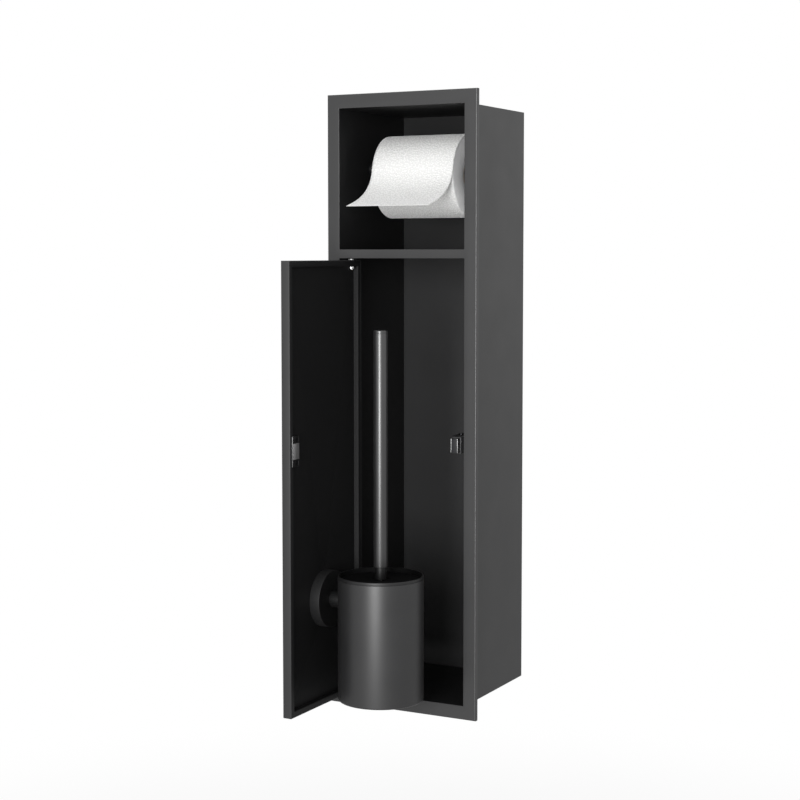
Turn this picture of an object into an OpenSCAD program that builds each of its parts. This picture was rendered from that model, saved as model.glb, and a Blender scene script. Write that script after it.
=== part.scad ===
// Recessed bathroom niche: paper roll above, brush set on a pivoting door below.
// X runs along the wall, Y into the wall and Z up, in millimetres.
// The wall surface is Y = 0, and Z = 0 is the frame's lower edge.

/* [Front frame] */
// Clear width of both compartments
opening_w = 150; // [146:1:170]
// Clear height of the lower compartment
lower_h = 473.7; // [460:0.1:520]
// Clear height of the upper compartment
upper_h = 151.2; // [145:0.1:180]
// Height of the bar between the compartments
mullion_h = 9.5; // [8.5:0.5:16]
// Width of the frame beside the openings
stile_w = 14.4; // [13:0.2:22]
// Height of the frame above and below the openings
rail_h = 14.8; // [14:0.2:22]
// How far the frame stands proud of the wall
flange_d = 5.4; // [4.8:0.2:7]
// Sheet thickness of the frame
frame_t = 1.2; // [1:0.1:1.5]
// Width of the return that lies on the wall
return_w = 8; // [6:0.5:9]

/* [Housing] */
// Depth of the housing behind the wall surface
housing_d = 144.8; // [138:0.2:180]
// Sheet thickness of the housing
sheet_t = 0.8; // [0.6:0.1:1.2]

/* [Door] */
// Thickness of the door
door_t = 10.5; // [10:0.1:12]
// Gap between the door and each side of the opening
door_gap = 1; // [0.9:0.1:2]
// Gap above the door
door_gap_top = 2; // [1.9:0.1:3]
// Gap below the door
door_gap_bottom = 1; // [0.9:0.1:2]
// Sheet thickness of the door
door_sheet = 1; // [0.8:0.1:1.1]
// Width of the lip round the door's inner recess
lip_w = 6.4; // [5.6:0.2:8]
// Depth of the door's inner recess
recess_d = 5.5; // [5:0.1:6]
// Outer radius of the folds at the door's two upright edges
fold_r = 2; // [1.8:0.1:2.4]
// Angle at which the door stands open
door_angle = 90; // [80:1:100]

/* [Hinge] */
// Distance of the pivot from the door's hinge edge
pivot_in = 11.4; // [11:0.1:12.5]
// Distance of the pivot behind the door's face
pivot_back = 5.4; // [5.2:0.1:5.6]
// Radius of the hinge pins
pin_r = 2.5; // [2:0.1:2.5]
// Radial running clearance of the pins in their bushes
pin_fit = 0.06; // [0.03:0.01:0.1]
// Outer radius of the bushes
bush_r = 3.2; // [3.2:0.1:3.3]
// Radius of the bushes' flanges
bush_flange_r = 4.6; // [4.2:0.1:5]
// Thickness of the bushes' flanges
bush_flange_t = 0.6; // [0.4:0.1:0.7]
// Length of the bushes behind their flanges
bush_l = 5; // [4:0.5:6]
// Radius of the washer on top of the door
washer_r = 4.4; // [4:0.1:5]
// Thickness of the washer on top of the door
washer_t = 0.9; // [0.6:0.1:1]
// Width across the flats of the pins' nuts
nut_af = 7; // [6.4:0.1:7]
// Height of the pins' nuts
nut_h = 3; // [2.5:0.1:4]

/* [Latch] */
// Width of the latch's head
latch_w = 8.8; // [8.4:0.1:12]
// Height of the latch's head
latch_h = 15.4; // [14:0.2:18]
// Length of the latch's case
latch_l = 44; // [38:1:60]
// Height of the latch's middle above the compartment's floor
latch_rise = 275.5; // [240:0.1:310]
// Gap between the latch's head and the side wall
latch_wall_gap = 13.1; // [11:0.1:14]
// Gap between the latch and the closed door's strike
latch_reach_gap = 0.3; // [0.2:0.1:0.6]
// How far the latch's head still stands out of its case when it is pushed in
latch_head_out = 2.5; // [1.5:0.1:4.5]
// Travel of the latch when the door is pushed
latch_travel = 3.5; // [2.5:0.1:4.5]
// Thickness of each pole plate
pole_t = 1.4; // [1.2:0.1:2.2]
// Wall thickness of the latch's case
latch_wall = 0.9; // [0.8:0.1:1.5]
// Sheet thickness of the latch's bracket
bracket_t = 1.5; // [1:0.1:2]

/* [Strike] */
// Height of the strike's base
strike_h = 31.6; // [30:0.2:40]
// Width of the strike's base
strike_w = 12.8; // [12.4:0.1:14.6]
// How far the strike stands proud of the door's lip
strike_proud = 1.7; // [1.6:0.1:3]
// Distance of the strike from the door's free edge
strike_in = 2.6; // [1.6:0.1:3]
// Height of the strike's steel plate
strike_plate_h = 16.4; // [15:0.1:19]
// Width of the strike's steel plate
strike_plate_w = 11.4; // [9:0.1:12]
// Thickness of the strike's steel plate
strike_plate_t = 1; // [0.8:0.1:1.1]
// How far the strike's middle is above the latch's
strike_rise = 1.8; // [0:0.1:3]

/* [Brush holder] */
// Outer radius of the cup
cup_r = 45; // [40:0.5:47]
// Height of the cup
cup_h = 128.4; // [110:0.2:150]
// Wall thickness of the cup
cup_t = 1; // [0.8:0.1:1.5]
// Height of the cup's bottom above the compartment's floor
cup_rise = 12.2; // [10:0.2:30]
// Least gap between the swinging cup and the side wall
swing_gap = 1.2; // [1:0.1:5]
// Distance of the cup's axis from the floor of the door's recess
cup_standoff = 68.9; // [66:0.1:72]
// Height of the liner's rim above the cup
rim_h = 3.4; // [3:0.1:5]
// Height of the arm above the cup's bottom
arm_rise = 101.2; // [80:0.2:104]
// Radius of the arm
arm_r = 9; // [8:0.1:10]
// Radius of the cover over the arm's foot
cover_r = 30.2; // [29:0.2:34]
// Thickness of the cover over the arm's foot
cover_d = 11.6; // [11:0.2:15]
// Wall thickness of the cover
cover_t = 1.2; // [1:0.1:1.5]

/* [Brush] */
// Radius of the brush's handle
handle_r = 7.6; // [7:0.1:9]
// Length of the handle above its collar
handle_l = 247.2; // [200:0.2:250]
// Radius of the collar under the handle
collar_r = 6.2; // [5.6:0.1:6.8]
// Height of the collar above the lid
collar_h = 13.2; // [10:0.2:20]
// Radius of the brush's head over the bristles
brush_r = 35; // [30:0.5:36]
// Length of the bristled part of the head
brush_l = 84; // [64:1:90]
// Rows of tufts along the head
tuft_rows = 16; // [8:1:16]
// Tufts round the head
tuft_cols = 20; // [14:1:22]

/* [Paper roll] */
// Length of the paper roll
roll_l = 98; // [90:1:110]
// Outer radius of the paper roll
roll_r = 44.8; // [35:0.2:55]
// Outer radius of the roll's core
core_r = 19.5; // [19:0.5:23]
// Wall thickness of the roll's core
core_t = 1; // [0.8:0.1:1.5]
// Height of the roll's axis above the compartment's floor
roll_rise = 79.2; // [72:0.2:84]
// Distance of the roll's axis behind the frame's face
roll_back = 71; // [66:1:80]
// How far the loose end reaches in front of the roll's axis
tail_reach = 101; // [90:1:110]
// How far the loose end hangs below the roll's axis
tail_drop = 33.6; // [28:0.2:40]
// Thickness of the loose end with its embossing
tail_t = 0.5; // [0.4:0.1:0.8]

/* [Roller] */
// Outer radius of the roller's sleeve
roller_r = 8; // [7.5:0.1:9]
// Outer radius of the roller's plunger
plunger_r = 6.4; // [6:0.1:6.6]
// Radial running clearance of the plunger in the sleeve
plunger_fit = 0.08; // [0.03:0.01:0.1]
// Radius of the roller's end pins
tip_r = 3; // [2.5:0.1:3.2]
// Radial running clearance of the end pins in their sockets
tip_fit = 0.08; // [0.03:0.01:0.1]
// Radius of the wall sockets
socket_r = 4.8; // [4.4:0.1:7]
// Thickness of the wall sockets
socket_t = 3.4; // [3:0.2:5]
// Travel of the roller's plunger
plunger_travel = 8; // [5:0.5:8]

/* [Hidden] */
$fn = 44;
eps = 0.5;
seat_gap = 0.3;

face_y = -flange_d;
half_w = opening_w / 2;
flange_w = opening_w + 2 * stile_w;
z_low = rail_h;
z_shelf = z_low + lower_h;
z_upper = z_shelf + mullion_h;
z_top = z_upper + upper_h;
flange_h = z_top + rail_h;
sheet_y = face_y + frame_t;
back_y = housing_d - sheet_t;

door_w = opening_w - 2 * door_gap;
door_h = lower_h - door_gap_top - door_gap_bottom;
door_x = -half_w + door_gap;
door_z = z_low + door_gap_bottom;
door_top = door_z + door_h;
inner_y = face_y + door_t;
floor_y = inner_y - recess_d;
pan_t = door_sheet;
core_y0 = face_y + door_sheet;
core_y1 = floor_y - pan_t;
pivot_x = door_x + pivot_in;
pivot_y = face_y + pivot_back;
nut_r = nut_af / sqrt(3);
nut_clear = 0.3;
pin_end = 1;
recess_top = door_top - lip_w;
recess_bottom = door_z + lip_w;

cup_reach = half_w - pivot_x - cup_r - swing_gap;
cup_y = floor_y + cup_standoff;
cup_dy = cup_y - pivot_y;
cup_x = pivot_x + sqrt(cup_reach * cup_reach - cup_dy * cup_dy);
cup_z = z_low + cup_rise;
cup_top = cup_z + cup_h;
arm_z = cup_z + arm_rise;
foot_t = 2.4;
foot_rim_h = 6;
foot_gap = 0.2;
foot_r = cover_r - cover_t - foot_gap;
foot_screw_x = 17;
foot_screw_r = 2;
foot_head_r = 3.6;
foot_head_t = 2;
foot_rim_t = 2;
set_screw_r = 1.5;
set_screw_in = 0.3;
cup_screw_r = 2.5;
cup_screw_l = 12;
cup_screw_head_r = 4.6;
cup_screw_head_t = 1.2;
cup_screw_seat = 0.5;
liner_gap = 2.2;
liner_r = cup_r - cup_t - liner_gap;
liner_t = 1.4;
liner_bottom_gap = 0.4;
neck_gap = 0.1;
rim_top = cup_top + rim_h;
rim_wall = 2;
lid_t = 2.4;
lid_play = 0.3;
lid_r = cup_r - rim_wall - lid_play;
lid_drop = 4.6;
lid_hub_l = 6;
lid_hub_wall = 2;
lid_z = rim_top - lid_drop;
lid_seat = lid_z - lid_t - seat_gap;
handle_z = lid_z + collar_h;
rod_grip = 15;
handle_wall = 1.2;
rod_r = 3.6;
head_gap = 12;
head_z = cup_z + cup_t + head_gap;
hub_r = 13.4;
hub_bore_r = 11.4;
spine_r = 11;
spine_cap = 3;
cap_edge = 1;
cap_h = 3;
cap_plug_l = 8;

strike_x = half_w - door_gap - strike_in - strike_w;
latch_x = half_w - latch_wall_gap - latch_w / 2;
latch_z = z_low + latch_rise;
strike_z = latch_z + strike_rise;
latch_y = inner_y + strike_proud + latch_reach_gap;
latch_case_y = latch_y + latch_travel + latch_head_out;
latch_fit = 0.1;
carriage_l = 30;
pole_l = 12;
magnet_d = 2.6;
magnet_sunk = 0.2;
magnet_edge = 0.6;
latch_spring_in = 1;
case_w = latch_w + 2 * latch_fit + 2 * latch_wall;
case_h = latch_h + 2 * latch_fit + 2 * latch_wall;
case_top = latch_z + case_h / 2;
bracket_in = 2;
bracket_y0 = latch_case_y + bracket_in;
bracket_y1 = latch_case_y + latch_l - bracket_in;
bracket_screw_head_t = 1.4;
strike_front = inner_y + strike_proud;
strike_screw_x = strike_x + strike_w / 3;
strike_screw_r = 1.5;
strike_screw_head_r = 2.8;
strike_screw_sunk = 1;
strike_screw_low = 0.1;
bracket_screw_r = 1.5;

roll_z = z_upper + roll_rise;
roll_y = face_y + roll_back;
core_bore_r = core_r - core_t;
roller_z = roll_z + core_bore_r - roller_r - seat_gap;
socket_face = half_w - socket_t;
socket_end_t = 0.3;
socket_bore_d = socket_t - socket_end_t;
tip_in = socket_bore_d - seat_gap;
tip_free = 4.6;
sleeve_short = 23;
sleeve_x0 = tip_free - socket_face;
sleeve_x1 = half_w - sleeve_short;
plunger_x1 = -sleeve_x0;
sleeve_end_t = 4;
sleeve_bore_x0 = sleeve_x0 + sleeve_end_t;
spring_packed_l = 67;
plunger_x0 = sleeve_bore_x0 + spring_packed_l + plunger_travel;
spring_wall = 1.2;

// Steps along the loose end's two curves
tail_steps = 14;
// Where the loose end starts on the roll and where it leaves it, as angles round its axis
tail_start_angle = 86;
tail_angle = 171;
// Lengths of the two handles that bend the loose end
tail_pull_a = 31;
tail_pull_b = 13;
// Direction of the loose end at its tip
tail_end_angle = 200;

black = [0.13, 0.13, 0.135];
nylon = [0.2, 0.2, 0.2];
steel = [0.72, 0.72, 0.72];
dark = [0.06, 0.06, 0.06];
paper = [0.93, 0.93, 0.92];
card = [0.66, 0.56, 0.44];

// Places a piece that is drawn with the door shut on the open door.
module on_door() {
    translate([pivot_x, pivot_y, 0]) rotate([0, 0, -door_angle])
        translate([-pivot_x, -pivot_y, 0]) children();
}

// A box given by its lowest and highest corners.
module block(low, high) {
    translate(low) cube(high - low);
}

// A rod along X from x0 to x1.
module rod_x(x0, x1, r, y, z) {
    translate([x0, y, z]) rotate([0, 90, 0]) cylinder(r = r, h = x1 - x0);
}

// A rod along Y from y0 to y1.
module rod_y(y0, y1, r, x, z) {
    translate([x, y0, z]) rotate([-90, 0, 0]) cylinder(r = r, h = y1 - y0);
}

// A rod along Z from z0 to z1.
module rod_z(z0, z1, r, x, y) {
    translate([x, y, z0]) cylinder(r = r, h = z1 - z0);
}

// Folded frame round both openings: face, outer edge and the return on the wall.
module front_frame() {
    color(black) difference() {
        block([-flange_w / 2, face_y, 0], [flange_w / 2, 0, flange_h]);
        block([-half_w, face_y - eps, z_low], [half_w, eps, z_shelf]);
        block([-half_w, face_y - eps, z_upper], [half_w, eps, z_top]);
        block([-flange_w / 2 + frame_t, sheet_y, frame_t],
            [flange_w / 2 - frame_t, -frame_t, flange_h - frame_t]);
        block([-flange_w / 2 + return_w, -frame_t - eps, return_w],
            [flange_w / 2 - return_w, eps, flange_h - return_w]);
    }
}

// One upright side of the housing, on the side that the sign gives.
module side_panel(sign) {
    inner = sign * half_w;
    outer = sign * (half_w + sheet_t);
    color(black) block([min(inner, outer), sheet_y, z_low - sheet_t],
        [max(inner, outer), back_y, z_top + sheet_t]);
}

module side_left() {
    side_panel(-1);
}

module side_right() {
    side_panel(1);
}

module back_panel() {
    color(black) block([-half_w - sheet_t, back_y, z_low - sheet_t],
        [half_w + sheet_t, housing_d, z_top + sheet_t]);
}

module top_panel() {
    color(black) block([-half_w, sheet_y, z_top], [half_w, back_y, z_top + sheet_t]);
}

module bottom_panel() {
    color(black) difference() {
        block([-half_w, sheet_y, z_low - sheet_t], [half_w, back_y, z_low]);
        rod_z(z_low - sheet_t - eps, z_low + eps, bush_r, pivot_x, pivot_y);
    }
}

// Folded shelf between the compartments, open at the back.
module divider_shelf() {
    color(black) difference() {
        block([-half_w, sheet_y, z_shelf], [half_w, back_y, z_upper]);
        block([-half_w - eps, sheet_y + sheet_t, z_shelf + sheet_t],
            [half_w + eps, back_y + eps, z_upper - sheet_t]);
        rod_z(z_shelf - eps, z_shelf + sheet_t + eps, bush_r, pivot_x, pivot_y);
    }
}

// Flanged bush with its flange at z and its body going in the direction of dir.
module hinge_bush(z, dir) {
    color(nylon) translate([pivot_x, pivot_y, z]) mirror([0, 0, dir < 0 ? 1 : 0]) difference() {
        union() {
            translate([0, 0, -bush_flange_t]) cylinder(r = bush_flange_r, h = bush_flange_t);
            cylinder(r = bush_r, h = bush_l);
        }
        translate([0, 0, -bush_flange_t - eps])
            cylinder(r = pin_r + pin_fit, h = bush_l + bush_flange_t + 2 * eps);
    }
}

module hinge_bush_top() {
    hinge_bush(z_shelf, 1);
}

module hinge_bush_bottom() {
    hinge_bush(z_low, -1);
}

// Places of the two latch screws along the bracket.
function bracket_screw_y(k) = bracket_y0 + (k == 0 ? 0.25 : 0.75) * (bracket_y1 - bracket_y0);

// Angle welded to the right side, with a shelf that the latch hangs from.
module latch_bracket() {
    color(black) difference() {
        union() {
            block([latch_x - case_w / 2, bracket_y0, case_top],
                [half_w, bracket_y1, case_top + bracket_t]);
            block([half_w - bracket_t, bracket_y0, case_top - case_h],
                [half_w, bracket_y1, case_top + bracket_t]);
        }
        for (k = [0, 1])
            rod_z(case_top - eps, case_top + bracket_t + eps, bracket_screw_r, latch_x, bracket_screw_y(k));
    }
}

module latch_screws() {
    head_z0 = case_top + bracket_t;
    color(steel) for (k = [0, 1]) {
        rod_z(case_top - latch_wall, head_z0, bracket_screw_r, latch_x, bracket_screw_y(k));
        rod_z(head_z0, head_z0 + bracket_screw_head_t, 2 * bracket_screw_r, latch_x, bracket_screw_y(k));
    }
}

// Case of the push latch, open at the front for the carriage.
module latch_housing() {
    inner = [case_w / 2 - latch_wall, case_h / 2 - latch_wall];
    color(dark) difference() {
        block([latch_x - case_w / 2, latch_case_y, latch_z - case_h / 2],
            [latch_x + case_w / 2, latch_case_y + latch_l, case_top]);
        block([latch_x - inner[0], latch_case_y - eps, latch_z - inner[1]],
            [latch_x + inner[0], latch_case_y + latch_l - latch_wall, latch_z + inner[1]]);
        for (k = [0, 1])
            rod_z(
                case_top - latch_wall - eps, case_top + eps,
                bracket_screw_r, latch_x, bracket_screw_y(k));
    }
}

// Carriage that slides in the case, narrow at its head where the pole plates lie.
module latch_carriage() {
    core = latch_w / 2 - pole_t;
    color(nylon) union() {
        block([latch_x - core, latch_y + magnet_d, latch_z - latch_h / 2],
            [latch_x + core, latch_y + pole_l, latch_z + latch_h / 2]);
        block([latch_x - latch_w / 2, latch_y + pole_l, latch_z - latch_h / 2],
            [latch_x + latch_w / 2, latch_y + carriage_l, latch_z + latch_h / 2]);
    }
}

// Magnet held at the front of the carriage.
module latch_magnet() {
    core = latch_w / 2 - pole_t;
    color([0.45, 0.45, 0.46])
        block([latch_x - core, latch_y + magnet_sunk, latch_z - latch_h / 2 + magnet_edge],
            [latch_x + core, latch_y + magnet_d, latch_z + latch_h / 2 - magnet_edge]);
}

// Two steel plates that carry the magnet's pull to the strike.
module pole_plates() {
    color(steel) for (sign = [-1, 1]) {
        inner = latch_x + sign * (latch_w / 2 - pole_t);
        outer = latch_x + sign * latch_w / 2;
        block([min(inner, outer), latch_y, latch_z - latch_h / 2],
            [max(inner, outer), latch_y + pole_l, latch_z + latch_h / 2]);
    }
}

// Spring sleeve behind the carriage, up to the end of the case.
module latch_spring() {
    y0 = latch_y + carriage_l;
    y1 = latch_case_y + latch_l - latch_wall;
    r = latch_w / 2 - latch_spring_in;
    color(steel) difference() {
        rod_y(y0, y1, r, latch_x, latch_z);
        rod_y(y0 - eps, y1 + eps, r - spring_wall, latch_x, latch_z);
    }
}

// Blind socket for one end of the roller, on the side that the sign gives.
module roller_socket(sign) {
    color(black) mirror([sign < 0 ? 1 : 0, 0, 0]) difference() {
        rod_x(socket_face, half_w, socket_r, roll_y, roller_z);
        rod_x(socket_face - eps, socket_face + socket_bore_d, tip_r + tip_fit, roll_y, roller_z);
    }
}

module socket_left() {
    roller_socket(-1);
}

module socket_right() {
    roller_socket(1);
}

module roller_sleeve() {
    color(nylon) difference() {
        union() {
            rod_x(sleeve_x0, sleeve_x1, roller_r, roll_y, roller_z);
            rod_x(-socket_face - tip_in, sleeve_x0, tip_r, roll_y, roller_z);
        }
        rod_x(sleeve_bore_x0, sleeve_x1 + eps, plunger_r + plunger_fit, roll_y, roller_z);
    }
}

module roller_plunger() {
    color(nylon) union() {
        rod_x(plunger_x0, plunger_x1, plunger_r, roll_y, roller_z);
        rod_x(plunger_x1, socket_face + tip_in, tip_r, roll_y, roller_z);
    }
}

module roller_spring() {
    r = plunger_r - plunger_fit;
    color(steel) difference() {
        rod_x(sleeve_bore_x0, plunger_x0, r, roll_y, roller_z);
        rod_x(sleeve_bore_x0 - eps, plunger_x0 + eps, r - spring_wall, roll_y, roller_z);
    }
}

module roll_core() {
    color(card) difference() {
        rod_x(-roll_l / 2, roll_l / 2, core_r, roll_y, roll_z);
        rod_x(-roll_l / 2 - eps, roll_l / 2 + eps, core_bore_r, roll_y, roll_z);
    }
}

module paper_roll() {
    color(paper) difference() {
        rod_x(-roll_l / 2, roll_l / 2, roll_r, roll_y, roll_z);
        rod_x(-roll_l / 2 - eps, roll_l / 2 + eps, core_r, roll_y, roll_z);
    }
}

// A point at angle a and radius r round the roll's axis, as depth and height.
function round_roll(a, r) = [roll_y + r * cos(a), roll_z + r * sin(a)];

// A point of a cubic curve through a and d with handles b and c.
function cubic(a, b, c, d, t) =
    a * pow(1 - t, 3) + b * 3 * t * pow(1 - t, 2) + c * 3 * t * t * (1 - t) + d * pow(t, 3);

// One face of the loose end: it lies on the roll, then swings forward and down.
function tail_side(r, down) = let(
        leave = round_roll(tail_angle, r),
        tip = [roll_y - tail_reach, roll_z - tail_drop - down],
        a = leave + tail_pull_a * [-sin(tail_angle), cos(tail_angle)],
        b = tip - tail_pull_b * [cos(tail_end_angle), sin(tail_end_angle)]
    ) concat(
        [for (k = [0:tail_steps])
            round_roll(tail_start_angle + (tail_angle - tail_start_angle) * k / tail_steps, r)],
        [for (k = [1:tail_steps]) cubic(leave, a, b, tip, k / tail_steps)]
    );

// Loose end of the paper over the front of the roll.
module paper_tail() {
    near = tail_side(roll_r + seat_gap, 0);
    far = tail_side(roll_r + seat_gap + tail_t, -tail_t);
    outline = concat(near, [for (k = [len(far) - 1:-1:0]) far[k]]);
    color(paper) translate([-roll_l / 2, 0, 0]) rotate([90, 0, 90]) linear_extrude(roll_l) polygon(outline);
}

// Outline of the door's front sheet in plan, with both upright folds rounded.
module door_plan(inset) {
    r = fold_r - inset;
    x0 = door_x + inset;
    x1 = door_x + door_w - inset;
    y0 = face_y + inset;
    union() {
        translate([x0 + r, y0]) square([x1 - x0 - 2 * r, r]);
        translate([x0, y0 + r]) square([x1 - x0, inner_y - y0 - r]);
        translate([x0 + r, y0 + r]) circle(r = r);
        translate([x1 - r, y0 + r]) circle(r = r);
    }
}

// Front sheet with its four folded edges.
module door_skin() {
    color(black) on_door() difference() {
        translate([0, 0, door_z]) linear_extrude(door_h) door_plan(0);
        translate([0, 0, door_z + door_sheet]) linear_extrude(door_h - 2 * door_sheet) union() {
            door_plan(door_sheet);
            translate([door_x + door_sheet, inner_y - eps]) square([door_w - 2 * door_sheet, 2 * eps]);
        }
        for (z = [door_z, door_top - door_sheet])
            rod_z(z - eps, z + door_sheet + eps, pin_r, pivot_x, pivot_y);
    }
}

// Room for the pins' nuts in the recess's floor.
module nut_notches() {
    for (z = [recess_bottom, recess_top - nut_h - pin_end - nut_clear])
        rod_z(z, z + nut_h + pin_end + nut_clear, nut_r + nut_clear, pivot_x, pivot_y);
}

// Inner pan: the lip round the edge, the walls of the recess and its floor.
module door_pan() {
    x0 = door_x + door_sheet;
    x1 = door_x + door_w - door_sheet;
    z0 = door_z + door_sheet;
    z1 = door_top - door_sheet;
    side = lip_w - pan_t;
    color(black) on_door() difference() {
        union() {
            block([x0, inner_y - pan_t, z0], [x1, inner_y, z1]);
            block(
                [door_x + side, core_y1, door_z + side],
                [door_x + door_w - side, inner_y, door_top - side]);
        }
        block(
            [door_x + lip_w, floor_y, recess_bottom],
            [door_x + door_w - lip_w, inner_y + eps, recess_top]);
        for (z = [recess_bottom - pan_t, recess_top])
            rod_z(z - eps, z + pan_t + eps, pin_r, pivot_x, pivot_y);
        nut_notches();
        for (x = [-1, 1])
            rod_y(core_y1 - eps, floor_y + eps, foot_screw_r, cup_x, arm_z + x * foot_screw_x);
    }
}

// Stiffening board between the front sheet and the pan.
module door_core() {
    gap = lip_w - pan_t;
    color([0.4, 0.36, 0.3]) on_door() difference() {
        block([door_x + gap, core_y0, door_z + gap], [door_x + door_w - gap, core_y1, door_top - gap]);
        nut_notches();
        for (z = [recess_bottom - pan_t, recess_top])
            rod_z(z - eps, z + pan_t + eps, pin_r, pivot_x, pivot_y);
        for (x = [-1, 1])
            rod_y(core_y0 - eps, core_y1 + eps, foot_screw_r, cup_x, arm_z + x * foot_screw_x);
    }
}

module hinge_pin_top() {
    color(steel) on_door() rod_z(recess_top - nut_h - pin_end, z_shelf + bush_l, pin_r, pivot_x, pivot_y);
}

module hinge_pin_bottom() {
    color(steel) on_door() rod_z(z_low - bush_l, recess_bottom + nut_h + pin_end, pin_r, pivot_x, pivot_y);
}

// One hexagon nut on its pin, from z up.
module pin_nut(z) {
    translate([pivot_x, pivot_y, z]) difference() {
        cylinder(r = nut_r, h = nut_h, $fn = 6);
        translate([0, 0, -eps]) cylinder(r = pin_r, h = nut_h + 2 * eps);
    }
}

module hinge_nuts() {
    color(steel) on_door() {
        pin_nut(recess_top - nut_h);
        pin_nut(recess_bottom);
    }
}

module hinge_washer() {
    color(steel) on_door() difference() {
        rod_z(door_top, door_top + washer_t, washer_r, pivot_x, pivot_y);
        rod_z(door_top - eps, door_top + washer_t + eps, pin_r, pivot_x, pivot_y);
    }
}

// Places of the two strike screws, above and below its plate.
function strike_screw_z(sign) = strike_z + sign * (strike_plate_h + strike_h) / 4;

// Plastic seat of the strike, on the door's lip and down to the recess's floor.
module strike_base() {
    x1 = strike_x + strike_w;
    lip_x = door_x + door_w - lip_w;
    z0 = strike_z - strike_h / 2;
    z1 = strike_z + strike_h / 2;
    color(dark) on_door() difference() {
        union() {
            block([strike_x, inner_y, z0], [x1, strike_front, z1]);
            block([strike_x, floor_y, z0], [lip_x, strike_front, z1]);
        }
        block([strike_x - eps, strike_front - strike_plate_t, strike_z - strike_plate_h / 2],
            [strike_x + strike_plate_w, strike_front + eps, strike_z + strike_plate_h / 2]);
        for (sign = [-1, 1]) {
            rod_y(floor_y - eps, strike_front + eps, strike_screw_r, strike_screw_x, strike_screw_z(sign));
            rod_y(strike_front - strike_screw_sunk, strike_front + eps, strike_screw_head_r,
                strike_screw_x, strike_screw_z(sign));
        }
    }
}

// Steel plate that the latch's magnet holds.
module strike_plate() {
    color(steel) on_door() block([strike_x, strike_front - strike_plate_t, strike_z - strike_plate_h / 2],
        [strike_x + strike_plate_w, strike_front, strike_z + strike_plate_h / 2]);
}

module strike_screws() {
    head_y = strike_front - strike_screw_sunk;
    color(dark) on_door() for (sign = [-1, 1]) {
        rod_y(floor_y, head_y, strike_screw_r, strike_screw_x, strike_screw_z(sign));
        rod_y(head_y, strike_front - strike_screw_low, strike_screw_head_r,
            strike_screw_x, strike_screw_z(sign));
    }
}

// Foot of the arm, screwed to the door, with a rim that centres the cover.
module holder_foot() {
    plate_y = floor_y + foot_t;
    rim_y = floor_y + foot_rim_h;
    color(steel) on_door() difference() {
        rod_y(floor_y, rim_y, foot_r, cup_x, arm_z);
        rod_y(plate_y, rim_y + eps, foot_r - foot_rim_t, cup_x, arm_z);
        for (sign = [-1, 1])
            rod_y(floor_y - eps, plate_y + eps, foot_screw_r, cup_x, arm_z + sign * foot_screw_x);
    }
}

module foot_screws() {
    plate_y = floor_y + foot_t;
    color(steel) on_door() for (sign = [-1, 1]) {
        rod_y(core_y0, plate_y, foot_screw_r, cup_x, arm_z + sign * foot_screw_x);
        rod_y(plate_y, plate_y + foot_head_t, foot_head_r, cup_x, arm_z + sign * foot_screw_x);
    }
}

// Round cover that hides the foot and its screws.
module foot_cover() {
    front = floor_y + cover_d;
    color(black) on_door() difference() {
        rod_y(floor_y, front, cover_r, cup_x, arm_z);
        rod_y(floor_y - eps, front - cover_t, cover_r - cover_t, cup_x, arm_z);
        rod_y(front - cover_t - eps, front + eps, arm_r, cup_x, arm_z);
        rod_z(arm_z - cover_r - eps, arm_z - foot_r, set_screw_r, cup_x, floor_y + foot_rim_h / 2);
    }
}

module cover_set_screw() {
    color(steel) on_door()
        rod_z(arm_z - cover_r + set_screw_in, arm_z - foot_r, set_screw_r, cup_x, floor_y + foot_rim_h / 2);
}

// Arm from the foot to the cup, shaped to the cup's side.
module holder_arm() {
    color(black) on_door() difference() {
        rod_y(floor_y + foot_t, cup_y, arm_r, cup_x, arm_z);
        rod_z(arm_z - arm_r - eps, arm_z + arm_r + eps, cup_r, cup_x, cup_y);
        rod_y(cup_y - cup_r - cup_screw_l, cup_y, cup_screw_r, cup_x, arm_z);
    }
}

module brush_cup() {
    color(black) on_door() difference() {
        rod_z(cup_z, cup_top, cup_r, cup_x, cup_y);
        rod_z(cup_z + cup_t, cup_top + eps, cup_r - cup_t, cup_x, cup_y);
        rod_y(cup_y - cup_r - eps, cup_y, cup_screw_r, cup_x, arm_z);
    }
}

// Screw from inside the cup into the arm, with a disc that lies in the cup's curve.
module cup_screw() {
    head_y = cup_y - cup_r + cup_t + cup_screw_seat;
    color(steel) on_door() {
        rod_y(cup_y - cup_r - cup_screw_l, head_y, cup_screw_r, cup_x, arm_z);
        rod_y(head_y, head_y + cup_screw_head_t, cup_screw_head_r, cup_x, arm_z);
    }
}

// Liner with a wider neck that seats the lid; its rim closes the top of the cup.
module cup_liner() {
    z0 = cup_z + cup_t + liner_bottom_gap;
    neck_r = cup_r - cup_t - neck_gap;
    color(black) on_door() difference() {
        union() {
            rod_z(z0, lid_seat, liner_r, cup_x, cup_y);
            rod_z(lid_seat - liner_t, cup_top, neck_r, cup_x, cup_y);
            rod_z(cup_top, rim_top, cup_r, cup_x, cup_y);
        }
        rod_z(z0 + liner_t, rim_top + eps, liner_r - liner_t, cup_x, cup_y);
        rod_z(lid_seat, rim_top + eps, cup_r - rim_wall, cup_x, cup_y);
    }
}

// Lid that rests in the liner's neck, with a hub round the brush's rod.
module brush_lid() {
    hub_z = lid_z - lid_t - lid_hub_l;
    color(dark) on_door() difference() {
        union() {
            rod_z(lid_z - lid_t, lid_z, lid_r, cup_x, cup_y);
            rod_z(hub_z, lid_z, collar_r + lid_hub_wall, cup_x, cup_y);
        }
        rod_z(hub_z - eps, lid_z + eps, rod_r, cup_x, cup_y);
    }
}

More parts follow.
